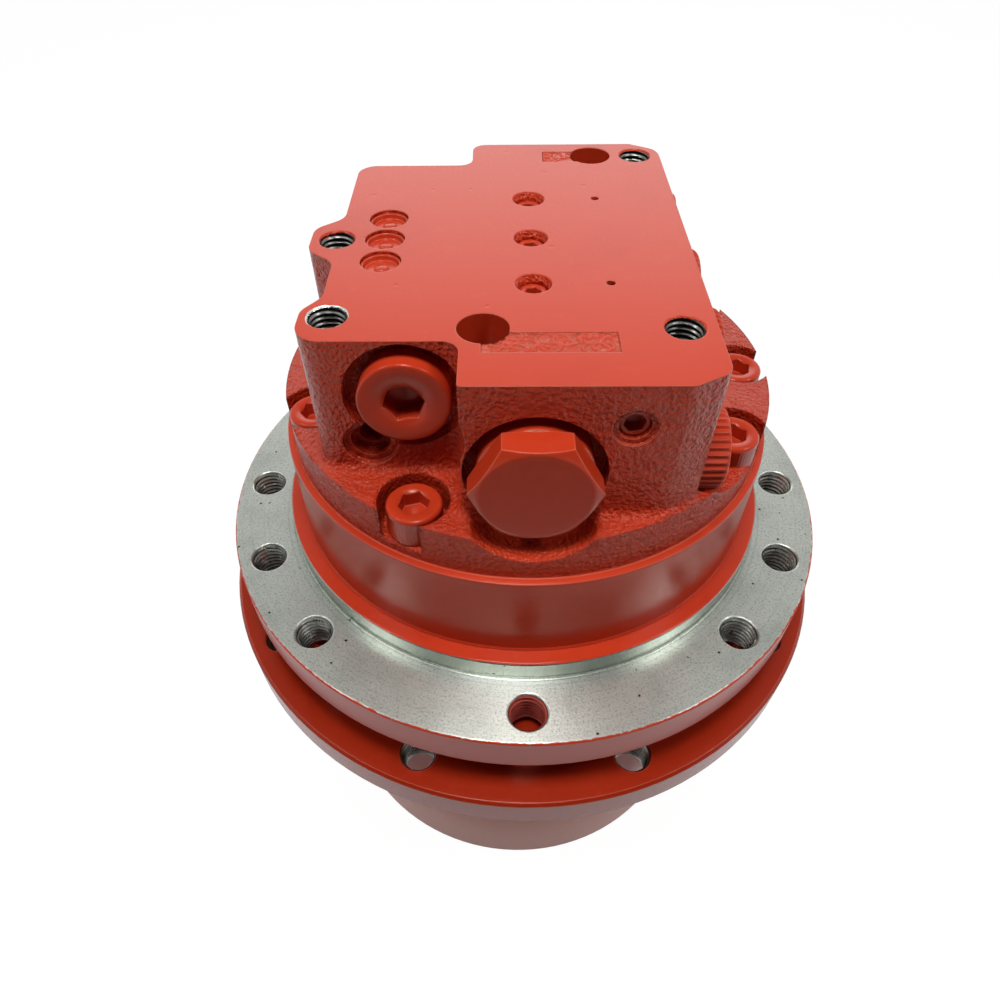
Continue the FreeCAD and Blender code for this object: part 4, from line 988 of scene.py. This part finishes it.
def islands(node: str) -> list[tuple[np.ndarray, np.ndarray]]:
    """Lowest and highest corners of each separate solid of a node.

    Every point starts with its own number as its label. Each triangle gives its lowest label to
    its corners, and each label is replaced by its own label, until nothing changes.

    Args:
        node: Name of the node.

    Returns:
        Pairs of corners, in metres.
    """
    points, faces = node_arrays(node)
    labels = np.arange(len(points))
    while True:
        lowest = np.repeat(labels[faces].min(axis=1), 3)
        update = labels.copy()
        np.minimum.at(update, faces.ravel(), lowest)
        update = update[update]
        if np.array_equal(update, labels):
            break
        labels = update
    return [(points[labels == k].min(axis=0), points[labels == k].max(axis=0))
            for k in np.unique(labels)]


@dataclass
class Castings:
    """The three painted castings: hub, motor body and valve block."""

    paint: Paint
    # Painted shade: the hub's paint is a darker copy of the paint.
    hub_paint: Paint = Paint(base=(0.350, 0.022, 0.005), dark=(0.290, 0.016, 0.003),
                             pale=(0.420, 0.038, 0.014))
    iron: BareIron = BareIron()
    hub_roughness: float = 0.24
    hub_marks: float = 0.012 * MM

    def dressed(self, node: str) -> bpy.types.Object:
        """Clean copy of a casting's mesh in its place, shaded smooth with flat faces kept flat.

        Args:
            node: Name of the node.

        Returns:
            The copy, which stands for the node.
        """
        points, faces = node_arrays(node)
        piece = smooth(new_mesh(node + "_dressed", points, faces.tolist()))
        weigh = piece.modifiers.new("flat_faces", "WEIGHTED_NORMAL")
        weigh.keep_sharp = True
        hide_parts(node)
        return piece

    def build(self) -> None:
        """Make and dress each casting."""
        hub_finish = self.hub_paint.plain("hub_paint", self.hub_roughness, self.hub_marks,
                                          LEVELS.drum_line)
        finishes = (
            ("hub", Body.HUB_SIDE, Slot.HUB, hub_finish),
            ("motor_body", Body.FRAME_SIDE, Slot.CAST,
             BodyFinish(self.paint, self.iron).material()),
            ("valve_block", Body.FRAME_SIDE, Slot.CAST,
             BlockPaint(self.paint, self.iron).material()),
        )
        for node, body, slot, material in finishes:
            piece = clad(self.dressed(node), material)
            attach(piece, body.value)
            log.info("casting %s: %d faces", piece.name, len(piece.data.polygons))


class Turned:
    """Closed surface round an axis, made of rings that may change with the angle.

    Ring i at angle a lies at (r_i(a) cos a, r_i(a) sin a, h_i(a)). Neighbouring rings are joined
    by four-cornered faces, and the first and the last ring are closed by a fan to the axis.
    Sizes are millimetres, and the outer face lies at height 0.
    """

    def __init__(self, columns: int) -> None:
        """Start with no rings.

        Args:
            columns: Points in each ring, a multiple of 6.
        """
        self.angles = np.linspace(0.0, 2.0 * math.pi, columns, endpoint=False)
        self.radii: list[np.ndarray] = []
        self.heights: list[np.ndarray] = []

    def ring(self, radius: object, height: object) -> None:
        """Add one ring; radius and height are numbers or arrays over the angle."""
        self.radii.append(np.broadcast_to(np.asarray(radius, dtype=float), self.angles.shape))
        self.heights.append(np.broadcast_to(np.asarray(height, dtype=float), self.angles.shape))

    def profile(self, *rings: tuple[float, float]) -> None:
        """Add plain round rings from pairs of radius and height."""
        for radius, height in rings:
            self.ring(radius, height)

    def rounding(self, radius: float, height: float, bend: float, steps: int = 6) -> None:
        """Add a rounded outer edge.

        Ring k lies at radius - bend (1 - cos t), height - bend (1 - sin t), with t from 0 to 90
        degrees.

        Args:
            radius: Radius of the wall below the edge.
            height: Height of the face inside the edge.
            bend: Radius of the rounding.
            steps: Number of rings.
        """
        for t in np.linspace(0.0, math.pi / 2.0, steps):
            self.ring(radius - bend * (1.0 - math.cos(t)), height - bend * (1.0 - math.sin(t)))

    def hexagon(self, flats: float, turn: float = 0.0) -> np.ndarray:
        """Radius of a hexagon over the angle.

        It is flats / 2 / cos(((a - turn) mod 60 degrees) - 30 degrees).

        Args:
            flats: Width across flats.
            turn: Angle of one corner in degrees.

        Returns:
            Array of radii.
        """
        around = np.mod(self.angles - math.radians(turn), math.pi / 3.0)
        return flats / 2.0 / np.cos(around - math.pi / 6.0)

    def knurl(self, radius: float, depth: float, count: int, sharp: float = 1.0) -> np.ndarray:
        """Radius of a ribbed wall: radius - depth ((1 - cos(count a)) / 2) ** sharp.

        Args:
            radius: Radius of the ribs' tops.
            depth: Depth of the grooves.
            count: Number of ribs.
            sharp: Above 1 for wide ribs with narrow grooves, below 1 for narrow ribs.

        Returns:
            Array of radii.
        """
        wave = (1.0 - np.cos(count * self.angles)) / 2.0
        return radius - depth * wave ** sharp

    def socket(self, flats: float, depth: float, mouth: float, turn: float = 0.0) -> None:
        """Add a hexagon socket with a countersunk round mouth and a drill point.

        Args:
            flats: Width across flats.
            depth: Depth of the flats.
            mouth: Radius of the mouth.
            turn: Angle of one corner in degrees.
        """
        wall = self.hexagon(flats, turn)
        self.ring(mouth, 0.0)
        self.ring(wall, -0.8 * (mouth - wall))
        self.ring(wall, -depth)
        self.profile((0.30 * flats, -depth - 0.02), (0.10 * flats, -depth - 0.10 * flats))

    def surface(self, places: np.ndarray, axis: Axis) -> tuple[np.ndarray, list[list[int]]]:
        """Points and faces of one copy at each place.

        Args:
            places: Middle of the outer face of each copy, in metres.
            axis: Direction of the fitting's own axis.

        Returns:
            Array of points in metres and list of faces.
        """
        r = np.stack(self.radii)
        h = np.stack(self.heights)
        rows, columns = r.shape
        rings = np.stack([r * np.cos(self.angles), r * np.sin(self.angles), h], axis=-1)
        poles = np.array([(0.0, 0.0, h[0].mean()), (0.0, 0.0, h[-1].mean())])
        one = np.concatenate([rings.reshape(-1, 3), poles]) * MM
        laid = one @ np.array(axis.value, dtype=float).T
        points = (places[:, None, :] + laid[None, :, :]).reshape(-1, 3)
        j = np.arange(columns)
        after = (j + 1) % columns
        low, high = rows * columns, rows * columns + 1
        last = (rows - 1) * columns
        fans = np.concatenate([np.stack([np.full(columns, low), after, j], axis=-1),
                               np.stack([np.full(columns, high), last + j, last + after],
                                        axis=-1)])
        quads = grid_faces(rows, columns)
        faces: list[list[int]] = []
        for k in range(len(places)):
            faces += (quads + k * len(one)).tolist() + (fans + k * len(one)).tolist()
        return points, faces


@dataclass
class Fitting:
    """A small turned fitting that stands for a node, once at each of the node's solids."""

    node: str
    axis: Axis
    slot: Slot = Slot.FASTENER

    def shape(self) -> Turned:
        """Surface of the fitting, with its outer face at height 0."""
        raise NotImplementedError

    def places(self) -> np.ndarray:
        """Middle of the outer face of each of the node's solids, in metres.

        Returns:
            Array of places, one row each.
        """
        out = np.array(self.axis.value, dtype=float)[:, 2]
        boxes = islands(self.node)
        middle = np.array([(low + high) / 2.0 for low, high in boxes])
        reach = np.array([(high - low) / 2.0 for low, high in boxes])
        return middle + reach * out

    def build(self, material: bpy.types.Material) -> bpy.types.Object:
        """Make the fitting at all its places.

        Args:
            material: Its finish.

        Returns:
            The piece.
        """
        places = self.places()
        points, faces = self.shape().surface(places, self.axis)
        piece = clad(new_mesh(self.node + "_turned", points, faces), material)
        smooth(piece, angle=40.0)
        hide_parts(self.node)
        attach(piece, Body.FRAME_SIDE.value)
        log.info("fitting %s: %d copies, %d faces", self.node, len(places), len(faces))
        return piece


@dataclass
class HexPlug(Fitting):
    """Hexagon-head plug with a chamfered head, a collar and a stem."""

    flats: float = 30.0
    head: float = 8.0
    collar: float = 15.4
    seat: float = 15.6
    stem: float = 12.9
    length: float = 37.6
    crown: float = 14.55

    def shape(self) -> Turned:
        """The chamfer falls by (r - crown) tan 30 degrees outside the crown circle.

        Returns:
            The surface.
        """
        s = Turned(120)
        corner = s.hexagon(self.flats)
        slope = math.tan(math.radians(30.0))
        s.profile((self.stem - 2.0, -self.length), (self.stem - 0.8, -self.length),
                  (self.stem, 0.8 - self.length), (self.stem, -self.seat),
                  (self.collar, -self.seat), (self.collar, -self.head))
        s.ring(corner, -self.head + 0.28 * np.maximum(corner - self.collar, 0.0))
        for share in (1.0, 0.5, 0.0):
            rise = share * (corner - self.crown)
            s.ring(self.crown + rise, -slope * rise)
        s.profile((self.crown - 0.5, 0.02), (self.crown - 3.0, 0.02))
        return s


@dataclass
class RoundPlug(Fitting):
    """Round plug with a rounded rim and a hexagon socket."""

    radius: float = 12.3
    disc: float = 8.0
    stem: float = 8.9
    length: float = 22.0
    flats: float = 10.0
    depth: float = 6.5
    bend: float = 0.7

    def shape(self) -> Turned:
        """Stem, disc with a rounded rim, countersunk socket.

        Returns:
            The surface.
        """
        s = Turned(120)
        s.profile((self.stem - 2.0, -self.length), (self.stem, 1.0 - self.length),
                  (self.stem, -self.disc), (self.radius - 0.5, -self.disc),
                  (self.radius, 0.5 - self.disc))
        s.rounding(self.radius, 0.0, self.bend)
        s.socket(self.flats, self.depth, 0.61 * self.flats, 9.0)
        return s


@dataclass
class CapScrew(Fitting):
    """Socket-head cap screw with a knurled head."""

    head_radius: float = 8.0
    head: float = 10.0
    shank: float = 5.0
    length: float = 63.7
    flats: float = 8.0
    socket_depth: float = 5.0
    knurl_depth: float = 0.16
    bend: float = 1.1
    ribs: int = 48

    def shape(self) -> Turned:
        """Shank, knurled wall, rounded edge, countersunk socket.

        Returns:
            The surface.
        """
        s = Turned(4 * self.ribs)
        wall = s.knurl(self.head_radius, self.knurl_depth, self.ribs)
        s.profile((self.shank - 1.0, -self.length), (self.shank, 1.0 - self.length),
                  (self.shank, -self.head), (self.head_radius - 0.6, -self.head))
        s.ring(wall, 0.5 - self.head)
        s.ring(wall, -1.7)
        s.ring(self.head_radius, -1.35)
        s.rounding(self.head_radius, 0.0, self.bend)
        s.socket(self.flats, self.socket_depth, 0.61 * self.flats, 15.0)
        return s


@dataclass
class CupPlug(Fitting):
    """Pressed cup plug: a thin rim round a sunk floor with a small button."""

    radius: float = 5.75

    def shape(self) -> Turned:
        """Wall, rolled rim, floor and button as one profile.

        Returns:
            The surface.
        """
        s = Turned(72)
        r = self.radius
        s.profile((r - 1.2, -2.35), (r - 0.35, -2.35), (r, -2.0), (r, -0.25), (r - 0.13, -0.07),
                  (r - 0.35, 0.0), (r - 0.6, -0.08), (r - 0.8, -0.4), (r - 0.9, -1.1),
                  (r - 1.1, -1.4), (r - 1.5, -1.5), (2.4, -1.5), (2.15, -1.58), (1.95, -1.45),
                  (1.8, -1.05), (1.55, -0.95))
        return s


@dataclass
class SocketScrew(Fitting):
    """Headless screw or plug with a rounded end and a hexagon socket."""

    radius: float = 3.95
    length: float = 8.0
    flats: float = 4.0
    socket_depth: float = 3.0
    bend: float = 0.7

    def shape(self) -> Turned:
        """Plain wall, rounded edge, countersunk socket.

        Returns:
            The surface.
        """
        s = Turned(72)
        s.profile((self.radius - 1.0, -self.length), (self.radius, 1.0 - self.length))
        s.rounding(self.radius, 0.0, self.bend)
        s.socket(self.flats, self.socket_depth, 0.60 * self.flats, 12.0)
        return s


@dataclass
class PortCap(Fitting):
    """Push-in port cap with a ribbed rim and a rolled edge."""

    radius: float = 12.0
    height: float = 7.8
    stalk: float = 7.95
    length: float = 17.8
    ribs: int = 36
    rib_depth: float = 0.8
    shoulder: float = 2.2

    def shape(self) -> Turned:
        """The wall's radius is the smaller of the ribs' and of a rounded shoulder's.

        Returns:
            The surface.
        """
        s = Turned(6 * self.ribs)
        wall = s.knurl(self.radius, self.rib_depth, self.ribs, 0.6)
        s.profile((self.stalk - 1.5, -self.length), (self.stalk, 1.0 - self.length),
                  (self.stalk, -self.height), (self.radius - 1.2, -self.height))
        s.ring(wall, 0.3 - self.height)
        for t in np.linspace(0.0, 1.0, 7):
            bent = self.radius - self.shoulder * (1.0 - math.sqrt(1.0 - t * t))
            s.ring(np.minimum(wall, bent), -self.shoulder * (1.0 - t))
        s.profile((self.radius - 3.0, 0.0), (self.radius - 3.3, -0.35),
                  (0.35 * self.radius, -0.35))
        return s


@dataclass
class Fittings:
    """All plugs, screws and caps of the valve block."""

    paint: Paint
    cap_roughness: float = 0.34

    def build(self) -> None:
        """Make every fitting."""
        red = self.paint.plain("fitting_paint")
        cap = self.paint.plain("cap_paint", self.cap_roughness)
        for fitting in (
            CapScrew("block_screws", Axis.UP), HexPlug("main_plug_front", Axis.FRONT),
            HexPlug("main_plug_rear", Axis.BACK), RoundPlug("speed_plug_front", Axis.FRONT),
            RoundPlug("speed_plug_rear", Axis.BACK), CupPlug("expander_plugs", Axis.UP),
            SocketScrew("set_screws", Axis.UP),
            SocketScrew("gauge_plug", Axis.FRONT, length=9.0, flats=5.0, bend=0.6),
        ):
            fitting.build(red)
        for fitting in (
            PortCap("main_port_caps", Axis.RIGHT, Slot.CAP),
            PortCap("pilot_port_cap", Axis.RIGHT, Slot.CAP, radius=6.3, height=5.0, stalk=4.45,
                    length=15.0, ribs=24, rib_depth=0.5),
        ):
            fitting.build(cap)


@dataclass
class CastMarks:
    """Rough raised marks in a shallow recess of the top face: rings and spots in no order."""

    name: str
    low: tuple[float, float]
    high: tuple[float, float]
    drain: Drain
    seed: int
    marks: int
    rim: float = 0.1
    depth: float = 0.4
    rise: float = 0.36
    step: float = 0.2

    def height(self, x: np.ndarray, y: np.ndarray) -> np.ndarray:
        """Height of the marks over the recess's floor.

        It is the largest of exp(-((d - s) / 0.32)^2) and 0.8 exp(-(d / 0.5)^2) over the marks,
        where d is the distance from a mark's middle and s its size, times the rise and a fade to
        the border.

        Args:
            x: Places along X in millimetres.
            y: Places along Y.

        Returns:
            Array of heights.
        """
        rng = np.random.default_rng(self.seed)
        cx = rng.uniform(self.low[0], self.high[0], self.marks)[:, None, None]
        cy = rng.uniform(self.low[1], self.high[1], self.marks)[:, None, None]
        size = rng.uniform(0.9, 3.2, self.marks)[:, None, None]
        away = np.hypot((x[None] - cx) / rng.uniform(1.0, 1.7), y[None] - cy)
        rings = np.exp(-((away - size) / 0.32) ** 2)
        spots = 0.8 * np.exp(-(away / 0.5) ** 2)
        border = np.minimum(np.minimum(x - self.low[0], self.high[0] - x),
                            np.minimum(y - self.low[1], self.high[1] - y))
        return self.rise * np.maximum(rings, spots).max(axis=0) * np.clip(border / 0.4, 0.0, 1.0)

    def build(self, material: bpy.types.Material) -> bpy.types.Object:
        """Make the marks as a thin closed slab on the recess's floor.

        Points that would hang over the drain hole are drawn out to its rim.

        Args:
            material: Its finish.

        Returns:
            The piece.
        """
        across = np.arange(self.low[0] + 0.1, self.high[0], self.step)
        along = np.arange(self.low[1] + 0.1, self.high[1], self.step)
        x, y = np.meshgrid(across, along, indexing="ij")
        top = self.height(x, y)
        dx, dy = x - self.drain.x, y - self.drain.y
        away = np.maximum(np.hypot(dx, dy), 0.01)
        out = np.maximum((self.drain.radius + self.rim) / away, 1.0)
        x, y = self.drain.x + dx * out, self.drain.y + dy * out
        x = np.clip(x, self.low[0] + 0.1, self.high[0] - 0.1)
        floor = LEVELS.block_top / MM - self.depth
        upper = np.stack([x, y, floor + 0.02 + top], axis=-1).reshape(-1, 3)
        under = np.stack([x, y, np.full_like(x, floor - 0.05)], axis=-1).reshape(-1, 3)
        rows, columns = x.shape
        faces = grid_faces(rows, columns, closed=False)
        number = np.arange(rows * columns).reshape(rows, columns)
        ring = np.concatenate([number[:-1, 0], number[-1, :-1], number[:0:-1, -1],
                               number[0, :0:-1]])
        following = np.roll(ring, -1)
        side = np.stack([ring, ring + rows * columns, following + rows * columns, following],
                        axis=-1)
        every = np.concatenate([faces[:, ::-1], faces + rows * columns, side])
        piece = new_mesh(self.name, np.concatenate([upper, under]) * MM, every.tolist())
        smooth(clad(piece, material), angle=50.0)
        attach(piece, Body.FRAME_SIDE.value)
        log.info("cast marks %s: %d faces", self.name, len(every))
        return piece


@dataclass
class TopMarks:
    """Both strips of cast marks in the top face."""

    paint: Paint
    roughness: float = 0.34

    def build(self) -> None:
        """Make both strips."""
        finish = self.paint.plain("mark_paint", self.roughness)
        for strip in (
            CastMarks("front_marks", (-13.3, -54.3), (20.5, -45.8), FRONT_DRAIN, seed=7,
                      marks=26),
            CastMarks("rear_marks", (5.9, 54.7), (17.4, 62.7), REAR_DRAIN, seed=11, marks=10),
        ):
            strip.build(finish)


@dataclass(frozen=True)
class ThreadSize:
    """Bore, pitch and depth of a metric thread, in metres."""

    bore: float
    pitch: float
    depth: float


M12 = ThreadSize(6.0 * MM, 1.75 * MM, 0.9 * MM)
M10 = ThreadSize(5.0 * MM, 1.50 * MM, 0.8 * MM)


@dataclass
class Threads:
    """Bare threads cut in the walls of one set of equal holes."""

    name: str
    centres: np.ndarray
    size: ThreadSize
    low: float
    high: float
    body: Body
    slot: Slot
    clear: float = 0.03 * MM
    around: int = 28
    per_turn: int = 6
    sharp_over: float = 120.0

    def build(self, material: bpy.types.Material) -> bpy.types.Object:
        """Make the threaded walls of every hole.

        The wall's radius at height z and angle a is bore - clear - depth * (1 - |2 f - 1|), where
        f is the fraction of z / pitch - a / (2 pi). Both ends fade to the wall.

        Args:
            material: Material of the threads.

        Returns:
            The piece.
        """
        pitch = self.size.pitch
        rows = int(round((self.high - self.low) / pitch * self.per_turn)) + 1
        z = np.linspace(self.low, self.high, rows)[:, None]
        a = np.linspace(0.0, 2.0 * math.pi, self.around, endpoint=False)[None, :]
        turn = z / pitch - a / (2.0 * math.pi)
        ridge = 1.0 - np.abs(2.0 * (turn - np.floor(turn)) - 1.0)
        end = np.minimum(z - self.low, self.high - z) / pitch
        fade = np.clip(end + 0.15, 0.0, 1.0)
        radius = self.size.bore - self.clear - self.size.depth * ridge * fade
        x = radius * np.cos(a)
        y = radius * np.sin(a)
        one = np.stack([x, y, np.broadcast_to(z, x.shape)], axis=-1).reshape(-1, 3)
        spots = np.column_stack([self.centres, np.zeros(len(self.centres))])
        points = (spots[:, None, :] + one[None, :, :]).reshape(-1, 3)
        faces = np.concatenate([grid_faces(rows, self.around, k * len(one))
                                for k in range(len(spots))])
        piece = clad(new_mesh(self.name, points, faces[:, ::-1].tolist()), material)
        smooth(piece, self.sharp_over)
        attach(piece, self.body.value)
        log.info("threads %s: %d holes", self.name, len(spots))
        return piece


def circle_centres(name: str, first: float = 0.0) -> np.ndarray:
    """Hole centres of a round bolt pattern of the record.

    Args:
        name: Name of the mount.
        first: Angle of the first hole in degrees.

    Returns:
        Array of x and y.
    """
    dims = mount(name)["dims"]
    angles = np.radians(first + np.arange(dims["count"]) * 360.0 / dims["count"])
    radius = dims["pcd_mm"] * MM / 2.0
    return radius * np.column_stack([np.cos(angles), np.sin(angles)])


def rectangle_centres(name: str) -> np.ndarray:
    """Hole centres of a bolt pattern of the record that is a rectangle or a line.

    Args:
        name: Name of the mount.

    Returns:
        Array of x and y.
    """
    dims = mount(name)["dims"]
    x = dims.get("spacing_x_mm", 0.0) * MM / 2.0
    y = dims.get("spacing_y_mm", 0.0) * MM / 2.0
    return np.unique(np.array([(x, y), (-x, y), (-x, -y), (x, -y)]) + 0.0, axis=0)


@dataclass
class ThreadedHoles:
    """Threads of both flanges and of the tapped holes in the top face."""

    paint: Paint
    mouth: float = 0.45 * MM
    foot: float = 0.5 * MM
    tap_depth: float = 19.5 * MM
    first_sprocket_hole: float = -70.0
    # Painted highlight colour of the tapped holes' up-facing flanks, darker than the others.
    tap_lit_flank: Colour = (0.20, 0.20, 0.188)

    def build(self) -> None:
        """Make all three sets."""
        mounts = frame["record"]["mounts"]
        frame_holes = np.vstack([rectangle_centres(m["name"]) for m in mounts
                                 if m["name"].startswith("frame_bolts")])
        taps = np.array([m["pos_m"][:2] for m in mounts if m["name"].startswith("top_tap")])
        sprocket_holes = circle_centres("sprocket_bolts", self.first_sprocket_hole)
        stray = CutThread(self.paint, 0.45, front_share=0.9).material("painted_thread")
        clean = CutThread(self.paint, 0.15).material("bare_thread")
        dull = CutThread(self.paint, 0.80, lit_flank=self.tap_lit_flank).material("tap_thread")
        Threads("frame_flange_threads", frame_holes, M12, LEVELS.frame_low + self.foot,
                LEVELS.frame_face - self.mouth, Body.FRAME_SIDE, Slot.CAST).build(stray)
        Threads("sprocket_threads", sprocket_holes, M12, LEVELS.sprocket_low + self.foot,
                LEVELS.sprocket_top - self.mouth, Body.HUB_SIDE, Slot.HUB).build(clean)
        Threads("top_tap_threads", taps, M10, LEVELS.block_top - self.tap_depth,
                LEVELS.block_top - self.mouth, Body.FRAME_SIDE, Slot.CAST).build(dull)


@dataclass
class InnerParts:
    """Finishes of the nodes that aren't replaced."""

    paint: Paint
    rubber_nodes: tuple[str, ...] = ("block_seal_ring", "cover_seal_ring", "oil_seal")
    brass_nodes: tuple[str, ...] = ("piston_shoes",)
    painted_nodes: tuple[str, ...] = ("gear_cover", "oil_plugs")
    brass: BareMetal = BareMetal((0.72, 0.52, 0.24), 0.35)
    steel: BareMetal = BareMetal((0.56, 0.56, 0.55), 0.30)

    def build(self) -> None:
        """Dress every node that is shown as it is."""
        finishes = dict.fromkeys(self.rubber_nodes, SealRubber().material())
        finishes.update(dict.fromkeys(self.brass_nodes, self.brass.material("shoe_brass")))
        finishes.update(dict.fromkeys(self.painted_nodes, self.paint.plain("cover_paint")))
        bare = self.steel.material("machined_steel")
        shown = {name: node for name, node in frame["nodes"].items() if not node.hide_render}
        for name, node in shown.items():
            clad(node, finishes.get(name, bare))
        log.info("dressed %d nodes", len(shown))


@dataclass(frozen=True)
class Panel:
    """Soft light panel that faces the object, with its place and size in metres."""

    name: str
    place: tuple[float, float, float]
    size: tuple[float, float]
    radiance: float
    aim: tuple[float, float, float] = (0.0, 0.0, 0.15)

    def build(self) -> None:
        """Make the lamp; its power is the radiance times pi times the panel's area."""
        data = bpy.data.lights.new(self.name, "AREA")
        data.shape = "RECTANGLE"
        data.size, data.size_y = self.size
        data.energy = self.radiance * math.pi * self.size[0] * self.size[1]
        lamp = bpy.data.objects.new(self.name, data)
        bpy.context.scene.collection.objects.link(lamp)
        lamp.location = self.place
        towards = Vector(self.aim) - Vector(self.place)
        lamp.rotation_euler = towards.to_track_quat("-Z", "Y").to_euler()
        lamp.visible_camera = False


@dataclass
class Studio:
    """White floor, soft lights and the camera of the photograph."""

    focal_px: float = 732.84
    image_px: float = 1000.0
    centre_px: tuple[float, float] = (487.47, 538.11)
    place_mm: tuple[float, float, float] = (-9.23, -202.37, 356.12)
    right: Colour = (0.99991, 0.00926, -0.00961)
    up: Colour = (-0.00067, 0.75374, 0.65717)
    back: Colour = (0.01333, -0.65710, 0.75368)
    sensor: float = 36.0
    card: Colour = (0.0, -0.66, 0.75)
    room_light: float = 0.23
    floor_reach: float = 4.0
    floor_drop: float = 0.2 * MM
    floor_glow: float = 1.13
    floor_share: float = 0.86
    panels: tuple[Panel, ...] = (
        Panel("key_panel", (-0.02, -0.19, 1.04), (0.26, 0.26), 23.0),
        Panel("back_panel", (0.05, 1.25, 0.74), (1.0, 0.62), 1.3),
        Panel("left_panel", (-0.72, -0.25, 1.10), (0.28, 0.28), 11.0),
        Panel("right_panel", (0.74, -0.22, 1.05), (0.28, 0.28), 13.0),
    )

    def camera(self) -> None:
        """Camera that was fitted to the photograph's circles and edges."""
        data = bpy.data.cameras.new("camera")
        data.sensor_width = self.sensor
        data.sensor_fit = "HORIZONTAL"
        data.lens = self.focal_px * self.sensor / self.image_px
        data.shift_x = 0.5 - self.centre_px[0] / self.image_px
        data.shift_y = self.centre_px[1] / self.image_px - 0.5
        data.clip_start = 0.01
        data.clip_end = 30.0
        camera = bpy.data.objects.new("camera", data)
        bpy.context.scene.collection.objects.link(camera)
        turn = Matrix((self.right, self.up, self.back)).transposed().to_4x4()
        camera.matrix_world = Matrix.Translation(Vector(self.place_mm) * MM) @ turn
        bpy.context.scene.camera = camera

    def world(self) -> None:
        """White room with a dark card in front of and above the object, where the viewer is."""
        world = bpy.data.worlds.new("studio")
        bpy.context.scene.world = world
        world.use_nodes = True
        world.node_tree.nodes.clear()
        c = Canvas(world.node_tree)
        towards = c.add("TexCoord").outputs["Generated"]
        _, y, z = c.split(towards)
        dot = c.add("VectorMath", operation="DOT_PRODUCT")
        c.feed(dot.inputs[0], towards)
        dot.inputs[1].default_value = self.card
        open_room = c.math("MULTIPLY", c.ramp(dot.outputs["Value"], 0.30, 0.85, 1.0, 0.10),
                           c.ramp(y, -0.15, -0.75, 1.0, 0.15))
        open_room = c.math("MULTIPLY", open_room, c.ramp(z, 0.35, 0.80, 1.0, 0.40))
        level = c.math("MULTIPLY", open_room, self.room_light)
        path = c.add("LightPath")
        glossy = c.math("MULTIPLY", path.outputs["Is Glossy Ray"], open_room)
        seen = c.math("MAXIMUM", path.outputs["Is Camera Ray"], glossy)
        seen = c.math("MAXIMUM", seen, path.outputs["Is Transmission Ray"])
        strength = c.math("ADD", c.math("MULTIPLY", level, c.math("SUBTRACT", 1.0, seen)), seen)
        background = c.add("Background")
        c.feed(background.inputs["Color"], WHITE)
        c.feed(background.inputs["Strength"], strength)
        out = c.add("OutputWorld")
        world.node_tree.links.new(background.outputs[0], out.inputs[0])

    def floor(self) -> None:
        """Pale floor that the drive stands on, white to the camera but for the shadow."""
        side, low = self.floor_reach, -self.floor_drop
        points = np.array([(-side, -side, low), (side, -side, low), (side, side, low),
                           (-side, side, low)])
        piece = new_mesh("floor", points, [[0, 1, 2, 3]])
        material, c, shader = new_material("floor_white")
        place = c.place()
        mottle = c.noise(place, 3.0, 2.0)
        c.feed(shader.inputs["Base Color"], c.mix(mottle, (0.50, 0.50, 0.50), (0.54, 0.54, 0.54)))
        shader.inputs["Roughness"].default_value = 0.9
        glow = c.add("Emission")
        c.feed(glow.inputs["Color"], WHITE)
        c.feed(glow.inputs["Strength"], self.floor_glow)
        x, y = c.split(place)[:2]
        viewer = c.math("MULTIPLY", c.ramp(y, -0.20, -0.30),
                        c.ramp(c.math("ABSOLUTE", x), 0.40, 0.20))
        radius = c.away(x, y)
        shade = c.math("MULTIPLY", c.ramp(radius, 0.098, 0.106), c.ramp(radius, 0.145, 0.125))
        far = c.math("MULTIPLY", c.math("SUBTRACT", 1.0, shade),
                     c.math("SUBTRACT", 1.0, viewer))
        path = c.add("LightPath")
        shown = c.math("MAXIMUM", path.outputs["Is Camera Ray"],
                       c.math("MULTIPLY", path.outputs["Is Glossy Ray"], far))
        shown = c.math("MAXIMUM", shown, path.outputs["Is Transmission Ray"])
        blend = c.add("MixShader")
        c.feed(blend.inputs[0], c.math("MULTIPLY", shown, self.floor_share))
        c.feed(blend.inputs[1], shader.outputs[0])
        c.feed(blend.inputs[2], glow.outputs[0])
        out = next(n for n in material.node_tree.nodes if n.type == "OUTPUT_MATERIAL")
        c.feed(out.inputs["Surface"], blend.outputs[0])
        clad(piece, material)

    def build(self) -> None:
        """Set up the whole studio."""
        self.camera()
        self.world()
        self.floor()
        for panel in self.panels:
            panel.build()
        bpy.context.scene.view_settings.view_transform = "Standard"
        log.info("studio ready")


def main() -> None:
    """Build every piece."""
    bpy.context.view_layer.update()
    paint = Paint()
    for assembly in (Castings(paint), Fittings(paint), TopMarks(paint), ThreadedHoles(paint),
                     InnerParts(paint), Studio()):
        assembly.build()


if __name__ == "__main__":
    main()
